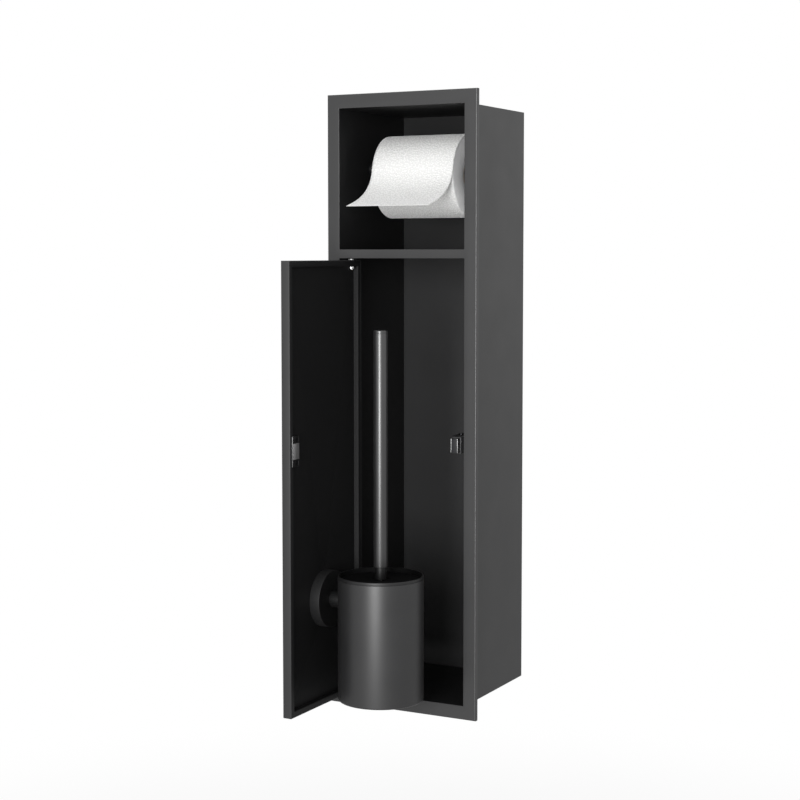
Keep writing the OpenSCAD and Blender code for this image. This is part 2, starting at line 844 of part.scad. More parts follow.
module handle_collar() {
    color(black) on_door() difference() {
        rod_z(lid_z, handle_z, collar_r, cup_x, cup_y);
        rod_z(lid_z - eps, handle_z + eps, rod_r, cup_x, cup_y);
    }
}

module brush_handle() {
    color(black) on_door() difference() {
        rod_z(handle_z, handle_z + handle_l - cap_h, handle_r, cup_x, cup_y);
        rod_z(handle_z - eps, handle_z + rod_grip + eps, rod_r, cup_x, cup_y);
        rod_z(handle_z + rod_grip, handle_z + handle_l, handle_r - handle_wall, cup_x, cup_y);
    }
}

// End cap with a rounded edge, plugged into the handle's tube.
module handle_cap() {
    z0 = handle_z + handle_l - cap_h;
    color(black) on_door() translate([cup_x, cup_y, z0]) rotate_extrude() union() {
        square([handle_r - cap_edge, cap_h]);
        square([handle_r, cap_h - cap_edge]);
        translate([handle_r - cap_edge, cap_h - cap_edge]) circle(r = cap_edge);
        translate([0, -cap_plug_l]) square([handle_r - handle_wall, cap_plug_l + eps]);
    }
}

// Threaded rod that joins the head, the lid and the handle.
module brush_rod() {
    color(steel) on_door() rod_z(head_z + brush_l, handle_z + rod_grip, rod_r, cup_x, cup_y);
}

// Moulded core of the brush's head.
module brush_spine() {
    color(nylon) on_door() union() {
        rod_z(head_z, head_z + brush_l, spine_r, cup_x, cup_y);
        rod_z(head_z - spine_cap, head_z, hub_r, cup_x, cup_y);
    }
}

// A point of the bristled sleeve: angle in columns, radius and height.
function hub_point(col, r, z) = [r * cos(360 * col / tuft_cols), r * sin(360 * col / tuft_cols), z];

// Corner k of a tuft's square, as the shares of its cell that it lies at.
function corner(k) = [k == 1 || k == 2 ? 1 : 0, k >= 2 ? 1 : 0];

// Bristles as tapering tufts that grow out of a sleeve, all in one closed surface.
module brush_bristles() {
    pitch = brush_l / tuft_rows;
    cells = tuft_cols * tuft_rows;
    rings = (tuft_rows + 1) * tuft_cols;
    foot_in = 0.22;
    tip_half = 0.11;
    droop = 1.2;
    grid = [for (i = [0:tuft_rows]) for (j = [0:tuft_cols - 1]) hub_point(j, hub_r, i * pitch)];
    bore = [for (z = [0, brush_l]) for (j = [0:tuft_cols - 1]) hub_point(j, hub_bore_r, z)];
    feet = [for (i = [0:tuft_rows - 1]) for (j = [0:tuft_cols - 1]) for (k = [0:3])
        let(c = corner(k) * (1 - 2 * foot_in) + [foot_in, foot_in])
        hub_point(j + c[0], hub_r, (i + c[1]) * pitch)];
    tips = [for (i = [0:tuft_rows - 1]) for (j = [0:tuft_cols - 1]) for (k = [0:3])
        let(c = corner(k) * 2 * tip_half + [0.5 - tip_half, 0.5 - tip_half])
        hub_point(j + c[0], brush_r, (i + c[1]) * pitch - droop)];
    f0 = rings + len(bore);
    t0 = f0 + 4 * cells;
    function at(i, j) = i * tuft_cols + j % tuft_cols;
    function inner(i, j) = rings + i * tuft_cols + j % tuft_cols;
    faces = concat(
        [for (i = [0:tuft_rows - 1]) for (j = [0:tuft_cols - 1]) for (k = [0:3])
            let(
                g = [at(i, j), at(i, j + 1), at(i + 1, j + 1), at(i + 1, j)],
                n = 4 * (i * tuft_cols + j),
                m = (k + 1) % 4
            )
            [f0 + n + k, f0 + n + m, g[m], g[k]]],
        [for (n = [0:cells - 1]) for (k = [0:3]) let(m = (k + 1) % 4)
            [t0 + 4 * n + k, t0 + 4 * n + m, f0 + 4 * n + m, f0 + 4 * n + k]],
        [for (n = [0:cells - 1]) [t0 + 4 * n + 3, t0 + 4 * n + 2, t0 + 4 * n + 1, t0 + 4 * n]],
        [for (j = [0:tuft_cols - 1]) [inner(0, j), inner(0, j + 1), inner(1, j + 1), inner(1, j)]],
        [for (j = [0:tuft_cols - 1]) [at(0, j), at(0, j + 1), inner(0, j + 1), inner(0, j)]],
        [for (j = [0:tuft_cols - 1]) [inner(1, j), inner(1, j + 1), at(tuft_rows, j + 1), at(tuft_rows, j)]]
    );
    color(dark) on_door() translate([cup_x, cup_y, head_z])
        polyhedron(points = concat(grid, bore, feet, tips), faces = faces);
}

front_frame();
side_left();
side_right();
back_panel();
top_panel();
bottom_panel();
divider_shelf();
hinge_bush_top();
hinge_bush_bottom();
latch_bracket();
latch_housing();
latch_screws();
socket_left();
socket_right();
paper_tail();
door_skin();
door_pan();
door_core();
hinge_pin_top();
hinge_pin_bottom();
hinge_nuts();
hinge_washer();
strike_base();
strike_plate();
strike_screws();
holder_foot();
foot_screws();
foot_cover();
cover_set_screw();
holder_arm();
brush_cup();
cup_screw();
cup_liner();
brush_handle();
handle_cap();
handle_collar();
brush_lid();
brush_rod();
brush_spine();
brush_bristles();
latch_carriage();
latch_magnet();
pole_plates();
latch_spring();
roller_sleeve();
roller_plunger();
roller_spring();
roll_core();
paper_roll();
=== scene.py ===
"""Looks of a recessed bathroom niche: coats, plastics, steel, paper and soft studio light."""

import math

import bmesh
import bpy
from bpy.props import FloatProperty, FloatVectorProperty, IntProperty, PointerProperty
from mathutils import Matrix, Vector
from mathutils.bvhtree import BVHTree


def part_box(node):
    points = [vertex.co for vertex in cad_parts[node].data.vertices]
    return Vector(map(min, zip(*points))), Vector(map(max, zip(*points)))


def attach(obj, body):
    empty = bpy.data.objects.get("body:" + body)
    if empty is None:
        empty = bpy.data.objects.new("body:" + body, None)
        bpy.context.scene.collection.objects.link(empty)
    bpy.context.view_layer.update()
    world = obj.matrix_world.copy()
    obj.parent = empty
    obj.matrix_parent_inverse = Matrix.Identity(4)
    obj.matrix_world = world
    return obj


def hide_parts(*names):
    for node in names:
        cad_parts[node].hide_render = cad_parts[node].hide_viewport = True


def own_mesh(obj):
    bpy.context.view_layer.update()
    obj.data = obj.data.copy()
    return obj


bl_info = {
    "name": "Recessed Bathroom Niche",
    "version": (1, 0, 0),
    "blender": (4, 5, 0),
    "location": "View3D > Sidebar > Niche",
    "description": "Dresses the niche's solids with rounded edges, finishes, paper, bristles and light",
    "category": "Object",
}

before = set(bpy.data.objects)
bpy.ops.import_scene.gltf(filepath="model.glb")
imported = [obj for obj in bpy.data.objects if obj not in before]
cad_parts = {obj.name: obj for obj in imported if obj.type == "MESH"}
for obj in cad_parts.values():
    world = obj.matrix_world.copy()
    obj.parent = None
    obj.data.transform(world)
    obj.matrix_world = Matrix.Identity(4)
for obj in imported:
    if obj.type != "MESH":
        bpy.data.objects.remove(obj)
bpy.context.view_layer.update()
MM = 0.001
# Planes closer than TOUCH are one, and a length under a HAIR is none
TOUCH = 0.01 * MM
HAIR = 0.001 * MM
# Folds of more than this stay sharp
SHARP = math.radians(35)


def low(node):
    """The corner of a node's box with the least values."""
    return Vector(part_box(node)[0])


def high(node):
    """The corner of a node's box with the greatest values."""
    return Vector(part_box(node)[1])


def middle(node):
    """The middle of a node's box."""
    return (low(node) + high(node)) / 2


def radius(node, axis=0):
    """Half of a node's width along an axis."""
    return (high(node)[axis] - low(node)[axis]) / 2


CUP_AXIS = Vector((middle("brush_cup").x, middle("brush_cup").y, 0))
ROLL = middle("paper_roll")
ARM = middle("holder_arm")
PIN_R = 2.5 * MM
WHITE = (1.0, 1.0, 1.0, 1.0)


# Shapes


def show(name, data):
    """An object of that name in the scene: a piece, a lamp or the camera."""
    obj = bpy.data.objects.new(name, data)
    bpy.context.scene.collection.objects.link(obj)
    return obj


def smooth(mesh):
    """Shades a mesh smooth, with its sharp folds kept."""
    mesh.polygons.foreach_set("use_smooth", [True] * len(mesh.polygons))
    mesh.set_sharp_from_angle(angle=SHARP)


def from_bmesh(name, bm, limit=SHARP):
    """Turns a working mesh into an object: roundings and curved strips smooth, flat faces flat."""
    mesh = bpy.data.meshes.new(name)
    bmesh.ops.recalc_face_normals(bm, faces=bm.faces)
    widest, least = 4 * MM, 0.01
    for face in bm.faces:
        width = face.calc_area() / max(e.calc_length() for e in face.edges)
        bends = [e.calc_face_angle(0) for e in face.edges if len(e.link_faces) == 2]
        if width < widest and any(least < bend < limit for bend in bends):
            face.smooth = True
    bm.to_mesh(mesh)
    bm.free()
    mesh.set_sharp_from_angle(angle=limit)
    return show(name, mesh)


def merged(node):
    """A working copy of a node's mesh, with corners in one place joined."""
    bm = bmesh.new()
    bm.from_mesh(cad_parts[node].data)
    bmesh.ops.remove_doubles(bm, verts=bm.verts, dist=2 * HAIR)
    return bm


def fold_edges(bm, width, segments=3, pick=None):
    """Rounds the sharp edges, or those of them that pick accepts."""
    least = math.radians(40)
    sharp = [e for e in bm.edges if len(e.link_faces) == 2 and e.calc_face_angle(0) > least]
    edges = [e for e in sharp if pick is None or pick(e)]
    made = bmesh.ops.bevel(
        bm, geom=edges, offset=width, offset_type="OFFSET", segments=segments, profile=0.5,
        affect="EDGES", clamp_overlap=False, loop_slide=False)
    for face in made["faces"]:
        face.smooth = True


def gridded(node):
    """A square-cut node made again from the cells between its own planes, all in four-sided faces."""
    source = bmesh.new()
    source.from_mesh(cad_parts[node].data)
    planes = []
    for axis in range(3):
        values = []
        for value in sorted(v.co[axis] for v in source.verts):
            if not values or value - values[-1] > TOUCH:
                values.append(value)
        planes.append(values)
    tree = BVHTree.FromBMesh(source)
    source.free()
    slant = Vector((0.31, 0.17, 0.93)).normalized()

    def inside(cell):
        if any(cell[k] < 0 or cell[k] > len(planes[k]) - 2 for k in range(3)):
            return False
        at = Vector([(planes[k][cell[k]] + planes[k][cell[k] + 1]) / 2 for k in range(3)])
        count = 0
        while True:
            hit = tree.ray_cast(at, slant)
            if hit[0] is None:
                return count % 2 == 1
            count += 1
            at = hit[0] + slant * HAIR

    bm = bmesh.new()
    corners = {}

    def corner(i, j, k):
        if (i, j, k) not in corners:
            corners[i, j, k] = bm.verts.new((planes[0][i], planes[1][j], planes[2][k]))
        return corners[i, j, k]

    counts = [len(values) - 1 for values in planes]
    solid = {
        (i, j, k): inside((i, j, k))
        for i in range(-1, counts[0] + 1)
        for j in range(-1, counts[1] + 1)
        for k in range(-1, counts[2] + 1)}
    for cell, full in solid.items():
        for axis in range(3):
            before = list(cell)
            before[axis] -= 1
            if solid.get(tuple(before), False) == full:
                continue
            a, b = (axis + 1) % 3, (axis + 2) % 3
            ring = []
            for da, db in ((0, 0), (1, 0), (1, 1), (0, 1)):
                place = list(cell)
                place[a] += da
                place[b] += db
                ring.append(corner(*place))
            bm.faces.new(ring)
    bmesh.ops.recalc_face_normals(bm, faces=bm.faces)
    return bm


def softened(node, rounding, material, body, segments=3):
    """A node with its edges rounded by millimetres, as folded sheet or moulded plastic is."""
    bm = merged(node)
    fold_edges(bm, rounding * MM, segments)
    obj = from_bmesh(node + "_finish", bm)
    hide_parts(node)
    wear(obj, material, body)
    return obj


def arc_corner(back, here, on, rounding, steps):
    """Points that round one corner of an outline, with less than half of either side taken."""
    a, b = (back - here), (on - here)
    if rounding <= 0 or min(a.length, b.length) < HAIR:
        return [here]
    share = 0.48
    half = a.angle(b) / 2
    cut = min(rounding / math.tan(half), share * a.length, share * b.length)
    rounding = cut * math.tan(half)
    a.normalize()
    b.normalize()
    centre = here + (a + b).normalized() * rounding / math.sin(half)
    first, last = here + a * cut - centre, here + b * cut - centre
    turn = first.angle(last)
    out = []
    for k in range(steps + 1):
        t = k / steps
        w0 = math.sin((1 - t) * turn) / math.sin(turn)
        w1 = math.sin(t * turn) / math.sin(turn)
        out.append(centre + first * w0 + last * w1)
    return out


def rounded_outline(corners, steps):
    """A closed outline from (across, along, rounding in millimetres) corners."""
    points = [Vector((c[0], c[1])) for c in corners]
    out = []
    for k, corner in enumerate(corners):
        on = points[(k + 1) % len(points)]
        out.extend(arc_corner(points[k - 1], points[k], on, corner[2] * MM, steps))
    return out


# Two directions across each axis, and its own
AXES = {
    "X": (Vector((0, 1, 0)), Vector((0, 0, 1)), Vector((1, 0, 0))),
    "Z": (Vector((1, 0, 0)), Vector((0, 1, 0)), Vector((0, 0, 1))),
}


def turned(name, outline, centre, axis, segments, limit):
    """Turns a closed outline of (radius, height) round an axis through centre."""
    u, v, w = AXES[axis]
    bm = bmesh.new()
    rings = []
    for point in outline:
        base = centre + w * point[1]
        if point[0] < HAIR:
            rings.append([bm.verts.new(base)] * segments)
            continue
        ring = []
        for k in range(segments):
            a = 2 * math.pi * k / segments
            ring.append(bm.verts.new(base + (u * math.cos(a) + v * math.sin(a)) * point[0]))
        rings.append(ring)
    for k, ring in enumerate(rings):
        following = rings[(k + 1) % len(rings)]
        for i in range(segments):
            j = (i + 1) % segments
            corners = []
            for vert in (ring[i], ring[j], following[j], following[i]):
                if vert not in corners:
                    corners.append(vert)
            if len(corners) > 2:
                bm.faces.new(corners)
    return from_bmesh(name, bm, limit)


# Nodes


def feed(tree, node, inputs):
    """Fills a node's inputs: a socket is linked, any other value is kept there."""
    for key, value in inputs.items():
        if isinstance(value, bpy.types.NodeSocket):
            tree.links.new(value, node.inputs[key])
        else:
            node.inputs[key].default_value = value


def put(tree, kind, inputs=None, **settings):
    """A node of that kind with its plain settings and with what goes into it."""
    node = tree.nodes.new(kind)
    for key, value in settings.items():
        setattr(node, key, value)
    feed(tree, node, inputs or {})
    return node


def maths(tree, operation, *values):
    """The result of one operation on sockets or numbers."""
    return put(tree, "ShaderNodeMath", dict(enumerate(values)), operation=operation).outputs[0]


# Geometry Nodes


def new_tree(name, inputs):
    """A geometry tree, the identifiers of its inputs and the sockets that they come in by."""
    tree = bpy.data.node_groups.new(name, "GeometryNodeTree")
    tree.interface.new_socket("Geometry", in_out="OUTPUT", socket_type="NodeSocketGeometry")
    tree.interface.new_socket("Geometry", in_out="INPUT", socket_type="NodeSocketGeometry")
    keys = {}
    for label, kind in inputs.items():
        socket = tree.interface.new_socket(label, in_out="INPUT", socket_type="NodeSocket" + kind)
        keys[label] = socket.identifier
    return tree, keys, put(tree, "NodeGroupInput").outputs


def finish_tree(tree, geometry, given):
    """Ends a tree in Realize Instances and Set Material."""
    real = put(tree, "GeometryNodeRealizeInstances", {"Geometry": geometry})
    worn = put(tree, "GeometryNodeSetMaterial", {
        "Geometry": real.outputs["Geometry"], "Material": given["Material"]})
    put(tree, "NodeGroupOutput", {"Geometry": worn.outputs["Geometry"]})


def grown(node, body, made, values, seed_mesh):
    """Runs a made tree on a seed mesh and keeps the result as a plain mesh in a node's place."""
    tree, keys = made
    name = node + "_finish"
    seed = show(name + "_seed", seed_mesh)
    modifier = seed.modifiers.new("grow", "NODES")
    modifier.node_group = tree
    for label, value in values.items():
        modifier[keys[label]] = value
    depsgraph = bpy.context.evaluated_depsgraph_get()
    mesh = bpy.data.meshes.new_from_object(seed.evaluated_get(depsgraph), depsgraph=depsgraph)
    seed.modifiers.clear()
    bpy.data.objects.remove(seed)
    mesh.name = name
    if not mesh.polygons:
        raise RuntimeError(name + " came out empty")
    smooth(mesh)
    obj = show(name, mesh)
    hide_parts(node)
    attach(obj, body)
    return obj


def points_mesh(points, aims=()):
    """A mesh of loose points and, where they are given, the directions that grow from them."""
    mesh = bpy.data.meshes.new("points")
    mesh.from_pydata(points, [], [])
    if aims:
        layer = mesh.attributes.new("aim", "FLOAT_VECTOR", "POINT")
        for point, aim in zip(layer.data, aims):
            point.vector = aim
    return mesh


def coil_tree():
    """A wire wound into a helix along Z, then turned and moved into place."""
    tree, keys, given = new_tree("coil", {
        "Turns": "Float", "Radius": "Float", "Length": "Float", "Wire": "Float",
        "Place": "Vector", "Turn": "Vector", "Material": "Material"})
    spiral = put(tree, "GeometryNodeCurveSpiral", {
        "Resolution": 20, "Rotations": given["Turns"], "Start Radius": given["Radius"],
        "End Radius": given["Radius"], "Height": given["Length"]})
    wire = put(tree, "GeometryNodeCurvePrimitiveCircle", {
        "Resolution": 8, "Radius": given["Wire"]}, mode="RADIUS")
    skin = put(tree, "GeometryNodeCurveToMesh", {
        "Curve": spiral.outputs["Curve"], "Profile Curve": wire.outputs["Curve"], "Fill Caps": True})
    move = put(tree, "GeometryNodeTransform", {
        "Geometry": skin.outputs["Mesh"], "Translation": given["Place"], "Rotation": given["Turn"]})
    finish_tree(tree, move.outputs["Geometry"], given)
    return tree, keys


def aimed_copies(tree, points, piece, bend=None):
    """A piece on each point, turned along the point's own direction."""
    aim = put(tree, "GeometryNodeInputNamedAttribute", {"Name": "aim"}, data_type="FLOAT_VECTOR")
    along = aim.outputs["Attribute"]
    if bend is not None:
        along = put(tree, "ShaderNodeVectorMath", {0: along, 1: bend}, operation="ADD").outputs["Vector"]
    align = put(tree, "FunctionNodeAlignRotationToVector", {"Vector": along}, axis="Z")
    place = put(tree, "GeometryNodeInstanceOnPoints", {
        "Points": points, "Instance": piece, "Rotation": align.outputs["Rotation"]})
    return place.outputs["Instances"]


def screw_tree():
    """Pan-head screws at the seed's points, each pointing along its own direction."""
    tree, keys, given = new_tree("screw_row", {
        "Head Radius": "Float", "Head Height": "Float", "Socket Radius": "Float", "Material": "Material"})
    height = given["Head Height"]
    parts = []
    for sides, width, lift in (
            (32, "Head Radius", maths(tree, "MULTIPLY", height, 0.5)), (6, "Socket Radius", height)):
        disc = put(tree, "GeometryNodeMeshCylinder", {
            "Vertices": sides, "Radius": given[width], "Depth": height}, fill_type="NGON")
        up = put(tree, "ShaderNodeCombineXYZ", {"Z": lift})
        parts.append(put(tree, "GeometryNodeTransform", {
            "Geometry": disc.outputs["Mesh"], "Translation": up.outputs[0]}).outputs["Geometry"])
    cut = put(tree, "GeometryNodeMeshBoolean", {
        "Mesh 1": parts[0], "Mesh 2": parts[1]}, operation="DIFFERENCE", solver="EXACT")
    finish_tree(tree, aimed_copies(tree, given["Geometry"], cut.outputs["Mesh"]), given)
    return tree, keys


def tuft_tree():
    """Tufts of tapering bristles at the seed's points, each fanned round its own direction."""
    tree, keys, given = new_tree("bristle_tufts", {
        "Strands": "Int", "Spread": "Float", "Length": "Float", "Thick": "Float",
        "Seed": "Int", "Material": "Material"})
    strand = put(tree, "GeometryNodeMeshCone", {
        "Vertices": 3, "Side Segments": 2, "Radius Bottom": given["Thick"],
        "Radius Top": maths(tree, "MULTIPLY", given["Thick"], 0.5), "Depth": given["Length"]},
        fill_type="NGON")
    copies = put(tree, "GeometryNodeDuplicateElements", {
        "Geometry": given["Geometry"], "Amount": given["Strands"]}, domain="POINT")
    lean = put(tree, "FunctionNodeRandomValue", {"Seed": given["Seed"]}, data_type="FLOAT_VECTOR")
    for label, sign in (("Min", -1.0), ("Max", 1.0)):
        end = maths(tree, "MULTIPLY", given["Spread"], sign)
        corner = put(tree, "ShaderNodeCombineXYZ", {axis: end for axis in "XYZ"})
        feed(tree, lean, {label: corner.outputs[0]})
    placed = aimed_copies(tree, copies.outputs["Geometry"], strand.outputs["Mesh"], lean.outputs["Value"])
    finish_tree(tree, placed, given)
    return tree, keys


# Shader groups


def new_group(name, inputs, outputs):
    """A shader group, the sockets that come in and the node that they end in."""
    group = bpy.data.node_groups.new(name, "ShaderNodeTree")
    for label, kind, value in inputs:
        socket = group.interface.new_socket(label, in_out="INPUT", socket_type="NodeSocket" + kind)
        if value is not None:
            socket.default_value = value
    for label in outputs:
        group.interface.new_socket(label, in_out="OUTPUT", socket_type="NodeSocketFloat")
    return group, put(group, "NodeGroupInput").outputs, put(group, "NodeGroupOutput")


def grain_group():
    """Fine grain of a sprayed or moulded surface, and a slow mottle over it."""
    group, given, end = new_group(
        "surface_grain",
        [("Vector", "Vector", None), ("Grain Size", "Float", 0.6 * MM), ("Mottle Size", "Float", 40 * MM)],
        ["Grain", "Mottle"])
    for size, result, detail in (("Grain Size", "Grain", 2.0), ("Mottle Size", "Mottle", 3.0)):
        per_metre = maths(group, "DIVIDE", 1.0, given[size])
        noise = put(group, "ShaderNodeTexNoise", {
            "Vector": given["Vector"], "Scale": per_metre, "Detail": detail})
        feed(group, end, {result: noise.outputs["Fac"]})
    return group


def emboss_group():
    """Small raised dots strewn over a flat pattern in metres, and slow creases."""
    group, given, end = new_group(
        "dot_emboss", [("Vector", "Vector", None), ("Pitch", "Float", 2.2 * MM)], ["Dots", "Crease"])
    per_metre = maths(group, "DIVIDE", 1.0, given["Pitch"])
    cells = put(group, "ShaderNodeTexVoronoi", {
        "Vector": given["Vector"], "Scale": per_metre, "Randomness": 1.0},
        voronoi_dimensions="2D", feature="F1")
    dome = put(group, "ShaderNodeMapRange", {
        "Value": cells.outputs["Distance"], "From Min": 0.55, "From Max": 0.1},
        interpolation_type="SMOOTHSTEP")
    soft = put(group, "ShaderNodeTexNoise", {"Vector": given["Vector"], "Scale": 220.0, "Detail": 3.0})
    feed(group, end, {"Dots": dome.outputs["Result"], "Crease": soft.outputs["Fac"]})
    return group


GROUPS = {}


def group_node(tree, name, inputs):
    """The outputs of a shader group placed in a material's tree."""
    if name not in GROUPS:
        GROUPS[name] = {"surface_grain": grain_group, "dot_emboss": emboss_group}[name]()
    return put(tree, "ShaderNodeGroup", inputs, node_tree=GROUPS[name]).outputs


def plain_material(name):
    """A node material, its tree and its shader."""
    mat = bpy.data.materials.new(name)
    mat.use_nodes = True
    return mat, mat.node_tree, mat.node_tree.nodes["Principled BSDF"]


def shade(colour, factor):
    """A darker or paler shade of a colour, none of it over 1."""
    return (*(min(1.0, c * factor) for c in colour[:3]), 1.0)


def tinted(tree, factor, colour, dark, pale):
    """A colour that runs between two shades of itself."""
    mix = put(tree, "ShaderNodeMix", {
        "Factor": factor, "A": shade(colour, dark), "B": shade(colour, pale)}, data_type="RGBA")
    return mix.outputs["Result"]


def bumped(tree, height, strength, distance):
    """A normal that follows a height."""
    bump = put(tree, "ShaderNodeBump", {"Height": height, "Strength": strength, "Distance": distance})
    return bump.outputs["Normal"]


def grained(name, sizes, stretch=None):
    """A material with the grain and the mottle of its surface, which stretch draws out."""
    mat, tree, shader = plain_material(name)
    vector = put(tree, "ShaderNodeTexCoord").outputs["Object"]
    if stretch:
        vector = put(tree, "ShaderNodeMapping", {"Vector": vector, "Scale": stretch}).outputs["Vector"]
    surface = group_node(tree, "surface_grain", {"Vector": vector, **sizes})
    return mat, tree, shader, surface["Grain"], surface["Mottle"]


def rough_between(tree, mottle, roughness, spread):
    """A roughness that the mottle varies a little."""
    span = put(tree, "ShaderNodeMapRange", {
        "Value": mottle, "To Min": roughness - spread, "To Max": roughness + spread})
    return span.outputs["Result"]


def coated(name, colour, roughness, grain, depth, specular):
    """A grained finish such as powder coat or moulded plastic, with its slow mottle."""
    mat, tree, shader, fine, mottle = grained(name, {"Grain Size": grain})
    feed(tree, shader, {
        "Base Color": tinted(tree, mottle, colour, 0.9, 1.1),
        "Roughness": rough_between(tree, mottle, roughness, 0.05),
        "Normal": bumped(tree, fine, 0.6, depth),
        "Specular IOR Level": specular})
    return mat


def brushed(name, colour, roughness, stretch):
    """Bright metal with fine lines drawn along one direction."""
    sizes = {"Grain Size": 0.25 * MM, "Mottle Size": 6 * MM}
    mat, tree, shader, fine, mottle = grained(name, sizes, stretch)
    feed(tree, shader, {
        "Base Color": tinted(tree, fine, colour, 0.8, 1.15),
        "Roughness": rough_between(tree, mottle, roughness, 0.07),
        "Normal": bumped(tree, fine, 0.35, 0.02 * MM),
        "Metallic": 1.0})
    return mat


def tissue(name, colour, pitch, depth):
    """Soft white paper with embossed dots, on the piece's own flat pattern."""
    mat, tree, shader = plain_material(name)
    flat = put(tree, "ShaderNodeUVMap", uv_map="flat")
    relief = group_node(tree, "dot_emboss", {"Vector": flat.outputs["UV"], "Pitch": pitch})
    height = maths(tree, "ADD", relief["Dots"], maths(tree, "MULTIPLY", relief["Crease"], 1.6))
    feed(tree, shader, {
        "Base Color": tinted(tree, relief["Dots"], colour, 0.88, 1.04),
        "Normal": bumped(tree, height, 0.7, depth),
        "Roughness": 0.92, "Specular IOR Level": 0.15,
        "Subsurface Weight": 0.15, "Subsurface Radius": (1.0, 1.0, 1.0), "Subsurface Scale": 3 * MM,
        "Sheen Weight": 0.6, "Sheen Roughness": 0.25})
    return mat


def wound(name, colour, centre, layer, dark, glow):
    """Edges of wound layers, as rings round an axis along X, with the light that passes through them."""
    mat, tree, shader = plain_material(name)
    place = put(tree, "ShaderNodeTexCoord")
    centred = put(tree, "ShaderNodeMapping", {
        "Vector": place.outputs["Object"], "Location": (0.0, -centre.y, -centre.z)})
    parts = put(tree, "ShaderNodeSeparateXYZ", {0: centred.outputs["Vector"]})
    flat = put(tree, "ShaderNodeCombineXYZ", {axis: parts.outputs[axis] for axis in "YZ"})
    length = put(tree, "ShaderNodeVectorMath", {0: flat.outputs[0]}, operation="LENGTH")
    rings = put(tree, "ShaderNodeTexNoise", {
        "W": maths(tree, "DIVIDE", length.outputs["Value"], layer), "Scale": 1.0, "Detail": 3.0},
        noise_dimensions="1D").outputs["Fac"]
    feed(tree, shader, {
        "Base Color": tinted(tree, rings, colour, dark, 1.0),
        "Normal": bumped(tree, rings, 0.8, 0.3 * MM),
        "Roughness": 0.95, "Specular IOR Level": 0.1,
        "Subsurface Weight": glow, "Subsurface Radius": (1.0, 1.0, 1.0), "Subsurface Scale": 50 * MM,
        "Sheen Weight": glow, "Sheen Roughness": 0.6})
    return mat


MATERIALS = {}


def finish(name):
    """The finish of that name, made once from the values in the sidebar."""
    if name in MATERIALS:
        return MATERIALS[name]
    s = bpy.context.scene.niche_finish
    # Share of the coat's colour or a colour, roughness, grain and its depth in millimetres, specular level
    coats = {
        "powder_coat": (1.0, s.coat_roughness, 0.6, 0.03, 0.54),
        "frame_coat": (1.0, s.coat_roughness, 0.6, 0.03, 0.68),
        "fold_coat": (1.0, s.coat_roughness - 0.12, 0.6, 0.03, 1.0),
        # Painted shade: the back and inner coats are the powder coat darkened for the faces inside the
        # niche
        "back_shade_coat": (0.9, 0.5, 0.6, 0.03, 0.42),
        "inner_shade_coat": (0.6, 0.5, 0.6, 0.03, 0.25),
        # Painted shade: the door's pan is the powder coat darkened
        "pan_shade_coat": (0.5, 0.5, 0.6, 0.03, 0.18),
        # Painted shade: the arm is the powder coat darkened
        "arm_shade_coat": (0.4, 0.5, 0.5, 0.03, 0.18),
        # Painted shade: the cover's face is the powder coat darkened much, its band darkened less
        "cover_face_shade": (0.25, 0.43, 0.5, 0.03, 0.4),
        "cover_band_shade": (0.6, 0.5, 0.5, 0.03, 0.4),
        "holder_coat": (1.0, 0.4, 0.5, 0.02, 0.58),
        "handle_coat": (1.0, 0.33, 0.5, 0.01, 1.0),
        "collar_black": (0.3, 0.45, 0.4, 0.03, 0.27),
        "moulded_black": (0.6, 0.42, 0.4, 0.01, 0.42),
        "lid_black_and_cup_shade": (0.2, 0.6, 0.4, 0.03, 0.1),
        "latch_black": (0.4, 0.35, 0.4, 0.01, 0.4),
        # Painted light: the latch's case and carriage are a paler grey than the other black plastics,
        # lightening their shaded sides
        "carriage_lit_grey": (3.2, 0.4, 0.4, 0.01, 0.5),
        "bristle_nylon": (2.0, 0.4, 2.0, 0.03, 0.5),
        "grey_nylon": ((0.02, 0.02, 0.02), 0.5, 0.4, 0.03, 0.5),
        "ferrite": ((0.02, 0.02, 0.022), 0.55, 0.3, 0.03, 0.3),
        "core_board": ((0.2, 0.15, 0.1), 0.8, 1.0, 0.1, 0.5),
    }
    # Share of the steel's colour or a colour, roughness, and how the lines are drawn out
    drawn, even = (1.0, 1.0, 0.03), (1.0, 1.0, 1.0)
    steels = {
        "bright_steel": (0.7, 0.42, drawn),
        # Painted highlight: bright steel on the front side of the strike's black seat
        "strike_side_highlight": (0.3, 0.35, drawn),
        "pole_steel": (0.5, 0.35, drawn),
        "zinc_steel": (0.6, 0.25, even),
        "spring_wire": (0.9, 0.3, even),
        "dark_steel": ((0.03, 0.03, 0.032), 0.4, even),
    }
    if name in coats:
        tone, roughness, grain, depth, specular = coats[name]
        colour = tone if isinstance(tone, tuple) else shade(s.coat_colour, tone)
        made = coated(name, colour, roughness, grain * MM, depth * MM, specular)
    elif name in steels:
        tone, roughness, stretch = steels[name]
        colour = tone if isinstance(tone, tuple) else shade(s.steel_colour, tone)
        made = brushed(name, colour, roughness, stretch)
    elif name == "tissue":
        made = tissue(name, s.paper_colour, s.emboss_pitch, s.emboss_depth)
    # Painted light: the roll's ends are paler paper than its face, lightening their shaded ends
    elif name == "lit_tissue_edge":
        made = wound(name, shade(s.paper_colour, 1.2), ROLL, 0.9 * MM, 0.95, 1.0)
    elif name == "wound_card":
        made = wound(name, (0.42, 0.33, 0.22), ROLL, 0.7 * MM, 0.72, 0.0)
    else:
        raise KeyError("no finish is called " + name)
    MATERIALS[name] = made
    return made


def coat(obj, material):
    """Gives an object one finish all over."""
    obj.data.materials.clear()
    obj.data.materials.append(finish(material))


def wear(obj, material, body):
    """Gives a piece its finish and the body that it moves with."""
    coat(obj, material)
    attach(obj, body)


